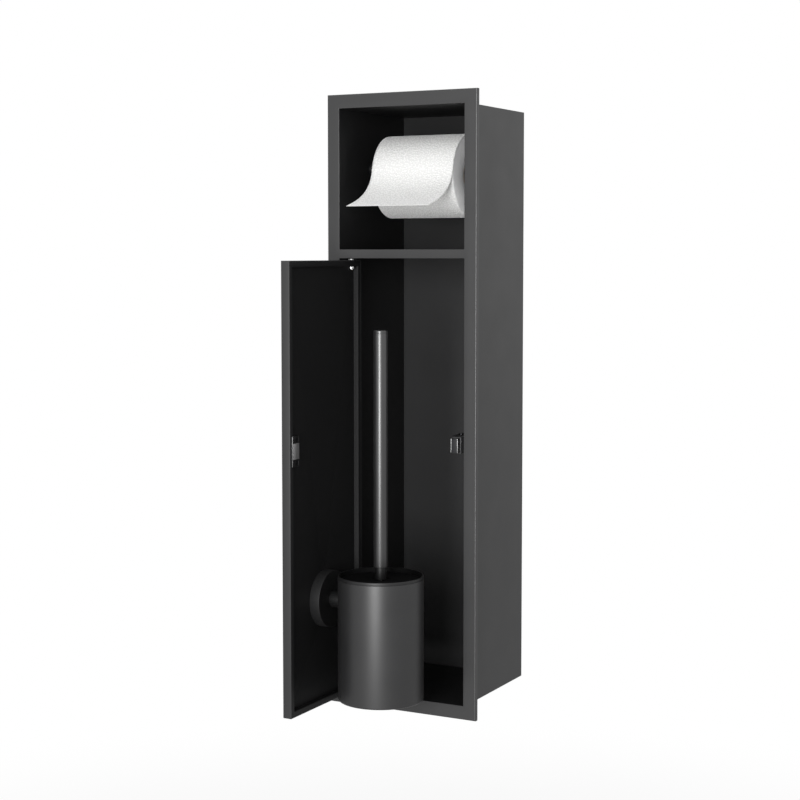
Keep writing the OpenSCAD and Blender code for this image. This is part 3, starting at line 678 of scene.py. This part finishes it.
def coat_faces(obj, material, picked):
    """Gives the faces that picked accepts a second finish."""
    obj.data.materials.append(finish(material))
    for polygon in obj.data.polygons:
        if picked(polygon):
            polygon.material_index = 1


def shade_inside(node, inner):
    """Gives a wall of the housing the outer coat, and on the side that faces in a darker coat as painted
    shade.
    """
    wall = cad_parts[node]
    heart = (low("back_panel") + high("front_frame")) / 2
    coat(wall, "powder_coat")
    coat_faces(wall, inner, lambda face: face.normal.dot(heart - face.center) > 0)


# Pieces


def lathed(node, corners, steps, centre, material, body, axis="Z", segments=96, limit=SHARP):
    """A round node made again on a lathe from (radius, height, rounding in millimetres) corners."""
    obj = turned(node + "_finish", rounded_outline(corners, steps), centre, axis, segments, limit)
    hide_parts(node)
    wear(obj, material, body)
    return obj


def turned_node(node, material, body, axis, bore, lip, segments=96):
    """A rod or tube made again from its box, its bore and its edges' rounding in millimetres."""
    k = "XYZ".index(axis)
    outer = radius(node, (k + 1) % 3)
    start, end = low(node)[k], high(node)[k]
    centre = middle(node)
    centre[k] = 0
    inner = lip / 2 if bore else 0
    corners = [(bore, start, inner), (outer, start, lip), (outer, end, lip), (bore, end, inner)]
    return lathed(node, corners, 4, centre, material, body, axis, segments)


def screwed(node, body, face, along, sunk, height, socket):
    """A pan-head screw at each end of a node's box, with the last three sizes in millimetres."""
    size = radius(node, 3 - face - along)
    aim = Vector((0, 0, 0))
    aim[face] = 1
    points = []
    for end in (low(node)[along] + size, high(node)[along] - size):
        point = middle(node)
        point[face] = high(node)[face] - sunk * MM
        point[along] = end
        points.append(point)
    grown(node, body, screw_tree(), {
        "Head Radius": size, "Head Height": height * MM, "Socket Radius": socket * MM,
        "Material": finish("dark_steel")}, points_mesh(points, [aim, aim]))


def coiled(node, body, turns, wire, along, place, turn):
    """A wire coil along an axis through a place, instead of a spring's plain sleeve."""
    place[along] = low(node)[along] + wire
    return grown(node, body, coil_tree(), {
        "Turns": turns, "Radius": radius(node, (along + 2) % 3) - wire,
        "Length": 2 * (radius(node, along) - wire), "Wire": wire,
        "Place": tuple(place), "Turn": turn,
        "Material": finish("spring_wire")}, points_mesh([(0, 0, 0)]))


def make_camera():
    """Camera at the photograph's place, tipped a little so that its shift stays small."""
    data = bpy.data.cameras.new("photo_camera")
    data.lens = 75.549
    data.sensor_width = 36.0
    data.shift_x = -0.00805
    data.shift_y = -0.035
    data.clip_end = 50.0
    tip, turn = math.radians(4.079), 0.48614
    camera = show("photo_camera", data)
    camera.location = (0.84002, -1.58153, 0.495)
    camera.rotation_euler = (math.pi / 2 - tip, 0.0, turn)
    bpy.context.scene.camera = camera


def area_light(name, place, aim, width, height, power):
    """A soft rectangular lamp at a place, facing a point."""
    data = bpy.data.lights.new(name, "AREA")
    data.shape = "RECTANGLE"
    data.size = width
    data.size_y = height
    data.energy = power
    lamp = show(name, data)
    lamp.location = place
    lamp.rotation_euler = (Vector(aim) - Vector(place)).to_track_quat("-Z", "Y").to_euler()


def make_floor(height, tone):
    """A wide pale floor far enough below that only a soft shadow reaches it."""
    bm = bmesh.new()
    bmesh.ops.create_grid(bm, x_segments=2, y_segments=2, size=12.0)
    for vert in bm.verts:
        vert.co.z = height
    floor = from_bmesh("floor", bm)
    mat, tree, shader = plain_material("pale_floor")
    feed(tree, shader, {
        "Base Color": (tone, tone, tone, 1.0), "Roughness": 0.9, "Specular IOR Level": 0.1})
    ray = put(tree, "ShaderNodeLightPath").outputs
    glow = put(tree, "ShaderNodeEmission", {"Color": WHITE, "Strength": 1.0})
    place = put(tree, "ShaderNodeTexCoord")
    level = put(tree, "ShaderNodeMapping", {
        "Vector": place.outputs["Object"], "Location": (0.0, 0.0, -height)})
    away = put(tree, "ShaderNodeVectorMath", {0: level.outputs["Vector"]}, operation="LENGTH")
    fade = put(tree, "ShaderNodeMapRange", {
        "Value": away.outputs["Value"], "From Min": 0.5, "From Max": 1.6, "To Min": 0.75},
        interpolation_type="SMOOTHSTEP")
    dimmed = maths(tree, "MULTIPLY", ray["Is Glossy Ray"], 0.1)
    seen = maths(tree, "MAXIMUM", ray["Is Camera Ray"], dimmed)
    plain_ray = maths(tree, "MAXIMUM", seen, ray["Is Transmission Ray"])
    share = maths(tree, "MULTIPLY", plain_ray, fade.outputs["Result"])
    mix = put(tree, "ShaderNodeMixShader", {
        "Fac": share, 1: shader.outputs["BSDF"], 2: glow.outputs["Emission"]})
    feed(tree, tree.nodes["Material Output"], {"Surface": mix.outputs["Shader"]})
    floor.data.materials.append(mat)


def make_world(strength):
    """Even white light that shows as plain white to the eye and in reflections."""
    world = bpy.data.worlds.new("studio")
    bpy.context.scene.world = world
    world.use_nodes = True
    tree = world.node_tree
    ray = put(tree, "ShaderNodeLightPath").outputs
    first = maths(tree, "MAXIMUM", ray["Is Camera Ray"], ray["Is Glossy Ray"])
    second = maths(tree, "MAXIMUM", first, ray["Is Transmission Ray"])
    level = put(tree, "ShaderNodeMapRange", {"Value": second, "To Min": strength, "To Max": 1.0})
    feed(tree, tree.nodes["Background"], {"Color": WHITE, "Strength": level.outputs["Result"]})


def make_housing(s):
    """Front frame and the folded housing behind it."""
    bm = gridded("front_frame")
    face = low("front_frame").y
    side, top = high("front_frame").x, high("front_frame").z

    def outer_fold(edge):
        mid = (edge.verts[0].co + edge.verts[1].co) / 2
        rim = min(abs(abs(mid.x) - side), abs(mid.z), abs(mid.z - top)) < TOUCH
        return rim and mid.y < face + TOUCH

    def opening_fold(edge):
        return max(v.co.y for v in edge.verts) < face + TOUCH

    fold_edges(bm, s.fold_radius * MM, 5, outer_fold)
    fold_edges(bm, 0.35 * MM, 3, opening_fold)
    obj = from_bmesh("front_frame_finish", bm)
    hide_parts("front_frame")
    wear(obj, "frame_coat", "housing")
    coat_faces(obj, "fold_coat", lambda face: max(abs(v) for v in face.normal) < 0.98)
    # Painted shade: the housing's inner faces and the shelf get darker coats, the back panel a little less
    # dark
    shade_inside("back_panel", "back_shade_coat")
    for node in ("side_left", "side_right", "top_panel", "bottom_panel"):
        shade_inside(node, "inner_shade_coat")
    softened("divider_shelf", 0.2, "inner_shade_coat", "housing", 2)


def make_hinge():
    """Bushes, pins, nuts and washer of the door's pivots."""
    for node in ("hinge_bush_top", "hinge_bush_bottom"):
        softened(node, 0.12, "grey_nylon", "housing", 2)
    for node in ("hinge_pin_top", "hinge_pin_bottom"):
        turned_node(node, "zinc_steel", "door", "Z", 0, 0.4, 48)
    turned_node("hinge_washer", "zinc_steel", "door", "Z", PIN_R, 0.25, 64)
    softened("hinge_nuts", 0.35, "zinc_steel", "door")


def make_door():
    """Front sheet, inner pan and the board between them."""
    softened("door_skin", 0.35, "powder_coat", "door")
    # The pan's darker coat is painted shade on the door's inner side
    softened("door_pan", 0.45, "pan_shade_coat", "door")
    coat(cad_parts["door_core"], "core_board")


def make_strike():
    """Seat, steel plate and screws of the strike."""
    base = softened("strike_base", 0.3, "latch_black", "door")
    # Painted highlight: the seat's front faces take bright steel as a bright line along its edge
    coat_faces(base, "strike_side_highlight", lambda face: face.normal.y < -0.8)
    softened("strike_plate", 0.18, "bright_steel", "door")
    screwed("strike_screws", "door", face=0, along=2, sunk=0.9, height=0.85, socket=1.2)


def make_latch():
    """Bracket, case, carriage, magnet, plates, spring and screws of the latch."""
    for node, rounding, material, body in (
            # The bracket inside the niche takes the darker inside coat as painted shade
            ("latch_bracket", 0.35, "inner_shade_coat", "housing"),
            # The case and carriage take a paler grey as painted light on their shaded sides
            ("latch_housing", 0.25, "carriage_lit_grey", "housing"),
            ("latch_carriage", 0.4, "carriage_lit_grey", "latch"),
            ("latch_magnet", 0.2, "ferrite", "latch"),
            ("pole_plates", 0.35, "pole_steel", "latch")):
        softened(node, rounding, material, body)
    screwed("latch_screws", "housing", face=2, along=1, sunk=1.4, height=1.4, socket=1.3)
    start, end = low("latch_spring"), high("latch_spring")
    x = middle("latch_screws").x
    place = Vector((x, 0, (start.z + end.z) / 2))
    obj = coiled("latch_spring", "housing", 9.0, 0.45 * MM, 1, place, turn=(-math.pi / 2, 0, 0))
    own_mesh(obj)


def make_holder(s):
    """Foot, round cover and arm on the door, and the cup that they carry."""
    near, far = low("foot_cover").x, high("foot_cover").x
    outer, arm_r, wall = radius("foot_cover", 2), radius("holder_arm", 2), 1.2 * MM
    cover = lathed("foot_cover", [
        (outer - wall, near, 0), (outer, near, 0.3), (outer, far, 0.4),
        (arm_r, far, 0.2), (arm_r, far - wall, 0), (outer - wall, far - wall, 0.4)],
        5, Vector((0, ARM.y, ARM.z)), "cover_face_shade", "door", "X", 160)
    # Painted shade: the cover's face is coated darker than its band, and the band darker than the powder
    # coat
    coat_faces(cover, "cover_band_shade", lambda face: abs(face.normal.x) < 0.7)
    # The arm's darker coat is painted shade
    softened("holder_arm", 0.2, "arm_shade_coat", "door", 2)
    for node in ("holder_foot", "foot_screws", "cup_screw"):
        coat(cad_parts[node], "zinc_steel")
    softened("cover_set_screw", 0.2, "dark_steel", "door", 2)
    z0, z1 = low("brush_cup").z, high("brush_cup").z
    r, t = radius("brush_cup"), 1.0 * MM
    lathed("brush_cup", [
        (0, z0, 0), (r, z0, s.cup_edge), (r, z1, 0.25), (r - t, z1, 0.2),
        (r - t, z0 + t, 0.8), (0, z0 + t, 0)], 6, CUP_AXIS, "holder_coat", "door", segments=192)
    rim_z1, base = high("cup_liner").z, low("cup_liner").z
    lid_skirt, gap = 6 * MM, 0.3 * MM
    seat = low("brush_lid").z + lid_skirt - gap
    body_r, wall, lip, ledge = r - t - 2.2 * MM, 1.4 * MM, 0.5 * MM, 2 * MM
    snug = r - t - 0.1 * MM
    liner = lathed("cup_liner", [
        (0, base, 0), (body_r, base, 2.5), (body_r, seat - wall, 0.2), (snug, seat - wall, 0.2),
        (snug, z1, 0), (r - lip, z1, 0), (r - lip, z1 + lip, 0), (r, z1 + lip, 0.2), (r, rim_z1, 0.7),
        (r - ledge, rim_z1, 0.6), (r - ledge, seat, 0.3), (body_r - wall, seat, 0.3),
        (body_r - wall, base + wall, 1.5), (0, base + wall, 0)],
        5, CUP_AXIS, "moulded_black", "door", segments=192)
    # Painted shade: the liner's faces towards the cup's axis take the lid's darker black
    coat_faces(liner, "lid_black_and_cup_shade", lambda face: face.normal.xy.dot((face.center - CUP_AXIS).xy) < 0)


def make_brush(s):
    """Handle, cap, collar, lid, rod, head and bristles of the brush."""
    z0, z1 = low("brush_handle").z, high("brush_handle").z
    r, rod = radius("brush_handle"), 3.6 * MM
    bore, floor = r - 1.2 * MM, z0 + 15 * MM
    lathed("brush_handle", [
        (rod, z0, 0.2), (r, z0, 0.5), (r, z1, 0.12), (bore, z1, 0), (bore, floor, 0), (rod, floor, 0)],
        5, CUP_AXIS, "handle_coat", "brush")
    bottom, top = low("handle_cap").z, high("handle_cap").z
    lathed("handle_cap", [
        (0, bottom, 0), (bore, bottom, 0.3), (bore, z1, 0), (r, z1, 0.12), (r, top, 1.0), (0, top, 0)],
        6, CUP_AXIS, "handle_coat", "brush")
    turned_node("handle_collar", "collar_black", "brush", "Z", rod, 0.3)
    turned_node("brush_rod", "bright_steel", "brush", "Z", 0, 0.3, 48)
    lid_r, hub = radius("brush_lid"), 8.2 * MM
    z0, z1 = low("brush_lid").z, high("brush_lid").z
    plate, dish = z1 - 2.4 * MM, z1 - 0.5 * MM
    lathed("brush_lid", [
        (rod, z0, 0.2), (hub, z0, 0.6), (hub, plate, 0.8), (lid_r, plate, 0.4), (lid_r, z1, 0.5),
        (hub + 2 * MM, z1, 0.4), (hub + 1.6 * MM, dish, 0.2), (rod, dish, 0)],
        5, CUP_AXIS, "lid_black_and_cup_shade", "brush", segments=160)
    make_bristles(s)


def make_bristles(s):
    """Moulded core with rings, and the tufts that stand out of it."""
    z0, z1 = low("brush_spine").z, high("brush_spine").z
    cap_r, head0 = radius("brush_spine"), low("brush_bristles").z
    rows, columns = 16, 20
    pitch = (z1 - head0) / rows
    nose, groove, shoulder, neck = 1.2 * MM, 0.9 * MM, 0.5 * MM, 5 * MM
    corners = [(0, z0, 0), (cap_r, z0, 1.2), (cap_r, head0 + nose, 0.6)]
    for k in range(1, rows):
        h = head0 + pitch * k
        corners += [(cap_r - groove, h, 0.3), (cap_r, h + pitch * 0.5, 0.3)]
    corners += [(cap_r, z1 - shoulder, 1.0), (neck, z1, 0.5), (0, z1, 0)]
    lathed("brush_spine", corners, 2, CUP_AXIS, "lid_black_and_cup_shade", "brush", segments=64)
    root, trimmed, fan = cap_r - 1.0 * MM, 2.0 * MM, 0.0875
    points, aims = [], []
    for i in range(rows):
        lean = fan * (2 * (i + 0.5) / rows - 1)
        for j in range(columns):
            a = 2 * math.pi * (j + 0.5 * (i % 2)) / columns
            out = Vector((math.cos(a), math.sin(a), 0))
            points.append(CUP_AXIS + out * root + Vector((0, 0, head0 + pitch * (i + 0.5))))
            aims.append((out + Vector((0, 0, lean))).normalized())
    grown("brush_bristles", "brush", tuft_tree(), {
        "Strands": s.strands, "Spread": 0.085, "Length": radius("brush_bristles") - root - trimmed,
        "Thick": 0.28 * MM, "Seed": 11, "Material": finish("bristle_nylon")},
        points_mesh(points, aims))


def make_roller():
    """Sockets, sleeve, plunger and spring of the roller."""
    for node, rounding, body in (
            ("socket_left", 0.35, "housing"), ("socket_right", 0.35, "housing"),
            ("roller_sleeve", 0.5, "roller"), ("roller_plunger", 0.5, "plunger")):
        softened(node, rounding, "moulded_black", body)
    place = middle("roller_sleeve")
    obj = coiled("roller_spring", "roller", 16.0, 0.5 * MM, 0, place, turn=(0, math.pi / 2, 0))
    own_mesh(obj)


def flat_map(mesh, pairs):
    """Keeps a flat pattern in metres on a mesh: one pair for each corner of each face."""
    layer = mesh.uv_layers.new(name="flat")
    for k, pair in enumerate(pairs):
        layer.data[k].uv = pair


def make_roll():
    """Paper roll with soft edges and a card core."""
    x0, x1 = low("paper_roll").x, high("paper_roll").x
    outer, inner = radius("paper_roll", 2), radius("roll_core", 2)
    centre = Vector((0, ROLL.y, ROLL.z))
    obj = lathed("paper_roll", [
        (inner, x0, 0.2), (outer, x0, 0.7), (outer, x1, 0.7), (inner, x1, 0.2)],
        4, centre, "tissue", "roll", "X", 180, math.radians(60))
    # Painted light: the roll's ends get paler paper than its face
    coat_faces(obj, "lit_tissue_edge", lambda face: abs(face.normal.x) > 0.6)
    pairs = []
    for polygon in obj.data.polygons:
        mid = polygon.center - centre
        base = math.atan2(mid.z, mid.y)
        for index in polygon.vertices:
            rel = obj.data.vertices[index].co - centre
            a = math.atan2(rel.z, rel.y)
            a -= 2 * math.pi * round((a - base) / (2 * math.pi))
            pairs.append((a * outer, rel.x))
    flat_map(obj.data, pairs)
    card = 1.0 * MM
    turned_node("roll_core", "wound_card", "roll", "X", inner - card, 0.3, 128)


def cubic(a, b, c, d, t):
    """The point at share t of a cubic curve from a to d."""
    return a * (1 - t) ** 3 + b * 3 * t * (1 - t) ** 2 + c * 3 * t * t * (1 - t) + d * t ** 3


def tail_path(size):
    """Side view of the loose end: forward over the roll, then away from it to its torn edge."""
    def on_roll(angle):
        return Vector((ROLL.y + size * math.cos(angle), ROLL.z + size * math.sin(angle)))

    steps_on, steps_off = 18, 44
    first, last, tip_angle = math.radians(86), math.radians(171), math.radians(200)
    path = [on_roll(first + (last - first) * k / steps_on) for k in range(steps_on + 1)]
    leave = path[-1]
    reach, drop, off_roll, to_tip = 101 * MM, 33.6 * MM, 31 * MM, 13 * MM
    tip = Vector((ROLL.y - reach, ROLL.z - drop))
    a = leave + Vector((-math.sin(last), math.cos(last))) * off_roll
    b = tip - Vector((math.cos(tip_angle), math.sin(tip_angle))) * to_tip
    path += [cubic(leave, a, b, tip, k / steps_off) for k in range(1, steps_off + 1)]
    return path


def make_tail():
    """Loose end of the paper as a thin curved sheet that lies on the roll."""
    x0, x1 = low("paper_tail").x, high("paper_tail").x
    proud, ply = 0.55 * MM, 0.3 * MM
    path = tail_path(radius("paper_roll", 2) + proud)
    lengths = [0.0]
    for k in range(1, len(path)):
        lengths.append(lengths[-1] + (path[k] - path[k - 1]).length)
    across = 40
    row = across + 1
    width = x1 - x0
    points = [(x0 + width * (i / across), point.x, point.y) for point in path for i in range(row)]
    quads = [
        (k * row + i, k * row + i + 1, (k + 1) * row + i + 1, (k + 1) * row + i)
        for k in range(len(path) - 1) for i in range(across)]
    mesh = bpy.data.meshes.new("paper_tail_finish")
    mesh.from_pydata(points, [], quads)
    flat_map(mesh, [(lengths[at // row], width * (at % row) / across) for quad in quads for at in quad])
    smooth(mesh)
    obj = show("paper_tail_finish", mesh)
    obj.data.materials.append(finish("tissue"))
    solid = obj.modifiers.new("ply", "SOLIDIFY")
    solid.thickness = ply
    solid.offset = 0.0
    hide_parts("paper_tail")
    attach(obj, "housing")


# Add-on


class NicheFinish(bpy.types.PropertyGroup):
    """Sizes and colours of the niche's finishes."""

    fold_radius: FloatProperty(
        name="Fold radius", description="Radius of the frame's folded edges, in millimetres",
        default=1.1, min=0.1, max=1.1)
    cup_edge: FloatProperty(
        name="Cup edge", description="Radius of the cup's lower edge, in millimetres",
        default=1.8, min=0.2, max=4.0)
    coat_colour: FloatVectorProperty(
        name="Coat colour", description="Colour of the powder coat", subtype="COLOR", size=3,
        default=(0.014, 0.014, 0.0145), min=0.0, max=1.0)
    coat_roughness: FloatProperty(
        name="Coat roughness", description="How matt the powder coat is", subtype="FACTOR",
        default=0.46, min=0.2, max=0.9)
    steel_colour: FloatVectorProperty(
        name="Steel colour", description="Colour of the bright steel", subtype="COLOR", size=3,
        default=(0.6, 0.6, 0.6), min=0.0, max=1.0)
    paper_colour: FloatVectorProperty(
        name="Paper colour", description="Colour of the tissue", subtype="COLOR", size=3,
        default=(0.82, 0.82, 0.81), min=0.0, max=1.0)
    emboss_pitch: FloatProperty(
        name="Emboss pitch", description="Distance between the paper's embossed dots",
        default=0.0024, min=0.001, max=0.01, unit="LENGTH", precision=4)
    emboss_depth: FloatProperty(
        name="Emboss depth", description="Height of the paper's embossed dots",
        default=0.0005, min=0.0, max=0.002, unit="LENGTH", precision=5)
    strands: IntProperty(
        name="Strands", description="Bristles in each tuft of the brush", default=9, min=3, max=16)


class NicheStudio(bpy.types.PropertyGroup):
    """Floor and light round the niche."""

    floor_height: FloatProperty(
        name="Floor height", description="Height of the floor under the niche",
        default=-0.45, min=-2.0, max=0.0, unit="LENGTH")
    floor_tone: FloatProperty(
        name="Floor tone", description="How pale the floor is", subtype="FACTOR",
        default=0.6, min=0.2, max=1.0)
    sky: FloatProperty(name="Sky", description="Level of the even light", default=0.8, min=0.0, max=2.0)
    key_power: FloatProperty(
        name="Key power", description="Power of the main lamp",
        default=46.0, min=0.0, max=1000.0, unit="POWER")


class NICHE_OT_stage(bpy.types.Operator):
    """Make the camera, the floor and the studio light"""

    bl_idname = "niche.stage"
    bl_label = "Stage"

    def execute(self, context):
        studio = context.scene.niche_studio
        make_camera()
        make_floor(studio.floor_height, studio.floor_tone)
        make_world(studio.sky)
        area_light("key", (0.52, -2.24, 0.42), (0.0, 0.0, 0.35), 0.7, 1.3, studio.key_power)
        return {"FINISHED"}


class NICHE_OT_housing(bpy.types.Operator):
    """Finish the front frame and the housing"""

    bl_idname = "niche.housing"
    bl_label = "Frame and housing"

    def execute(self, context):
        make_housing(context.scene.niche_finish)
        return {"FINISHED"}


class NICHE_OT_hinge(bpy.types.Operator):
    """Finish the pins, nuts, washer and bushes of the pivots"""

    bl_idname = "niche.hinge"
    bl_label = "Pivots"

    def execute(self, context):
        make_hinge()
        return {"FINISHED"}


class NICHE_OT_door(bpy.types.Operator):
    """Finish the door's sheets and its board"""

    bl_idname = "niche.door"
    bl_label = "Door"

    def execute(self, context):
        make_door()
        return {"FINISHED"}


class NICHE_OT_strike(bpy.types.Operator):
    """Finish the strike on the door"""

    bl_idname = "niche.strike"
    bl_label = "Strike"

    def execute(self, context):
        make_strike()
        return {"FINISHED"}


class NICHE_OT_latch(bpy.types.Operator):
    """Finish the push latch at the side wall"""

    bl_idname = "niche.latch"
    bl_label = "Latch"

    def execute(self, context):
        make_latch()
        return {"FINISHED"}


class NICHE_OT_holder(bpy.types.Operator):
    """Make the round cover, the arm, the cup and its liner"""

    bl_idname = "niche.holder"
    bl_label = "Brush holder"

    def execute(self, context):
        make_holder(context.scene.niche_finish)
        return {"FINISHED"}


class NICHE_OT_brush(bpy.types.Operator):
    """Make the brush with its handle, lid and bristles"""

    bl_idname = "niche.brush"
    bl_label = "Brush"

    def execute(self, context):
        make_brush(context.scene.niche_finish)
        return {"FINISHED"}


class NICHE_OT_roller(bpy.types.Operator):
    """Finish the roller and its sockets"""

    bl_idname = "niche.roller"
    bl_label = "Roller"

    def execute(self, context):
        make_roller()
        return {"FINISHED"}


class NICHE_OT_roll(bpy.types.Operator):
    """Make the paper roll and its card core"""

    bl_idname = "niche.roll"
    bl_label = "Paper roll"

    def execute(self, context):
        make_roll()
        return {"FINISHED"}


class NICHE_OT_tail(bpy.types.Operator):
    """Make the loose end of the paper"""

    bl_idname = "niche.tail"
    bl_label = "Loose end"

    def execute(self, context):
        make_tail()
        return {"FINISHED"}


STEPS = [
    "stage", "housing", "hinge", "door", "strike", "latch", "holder", "brush", "roller", "roll", "tail"]


class NICHE_PT_panel(bpy.types.Panel):
    """Sizes, colours and steps of the niche"""

    bl_idname = "NICHE_PT_panel"
    bl_label = "Recessed niche"
    bl_space_type = "VIEW_3D"
    bl_region_type = "UI"
    bl_category = "Niche"

    def draw(self, context):
        layout = self.layout
        for group in (context.scene.niche_finish, context.scene.niche_studio):
            column = layout.column(align=True)
            for name in group.__annotations__:
                column.prop(group, name)
        for step in STEPS:
            layout.operator("niche." + step)


CLASSES = (
    NicheFinish, NicheStudio, NICHE_OT_stage, NICHE_OT_housing, NICHE_OT_hinge, NICHE_OT_door,
    NICHE_OT_strike, NICHE_OT_latch, NICHE_OT_holder, NICHE_OT_brush, NICHE_OT_roller, NICHE_OT_roll,
    NICHE_OT_tail, NICHE_PT_panel,
)


def register():
    """Adds the niche's panel, steps and properties to Blender."""
    for cls in CLASSES:
        bpy.utils.register_class(cls)
    bpy.types.Scene.niche_finish = PointerProperty(type=NicheFinish)
    bpy.types.Scene.niche_studio = PointerProperty(type=NicheStudio)


def unregister():
    """Takes them out again."""
    del bpy.types.Scene.niche_studio
    del bpy.types.Scene.niche_finish
    for cls in reversed(CLASSES):
        bpy.utils.unregister_class(cls)


def main():
    """Registers the add-on and dresses the whole niche step by step."""
    register()
    bpy.context.scene.view_settings.view_transform = "Standard"
    for step in STEPS:
        getattr(bpy.ops.niche, step)()


if __name__ == "__main__":
    main()
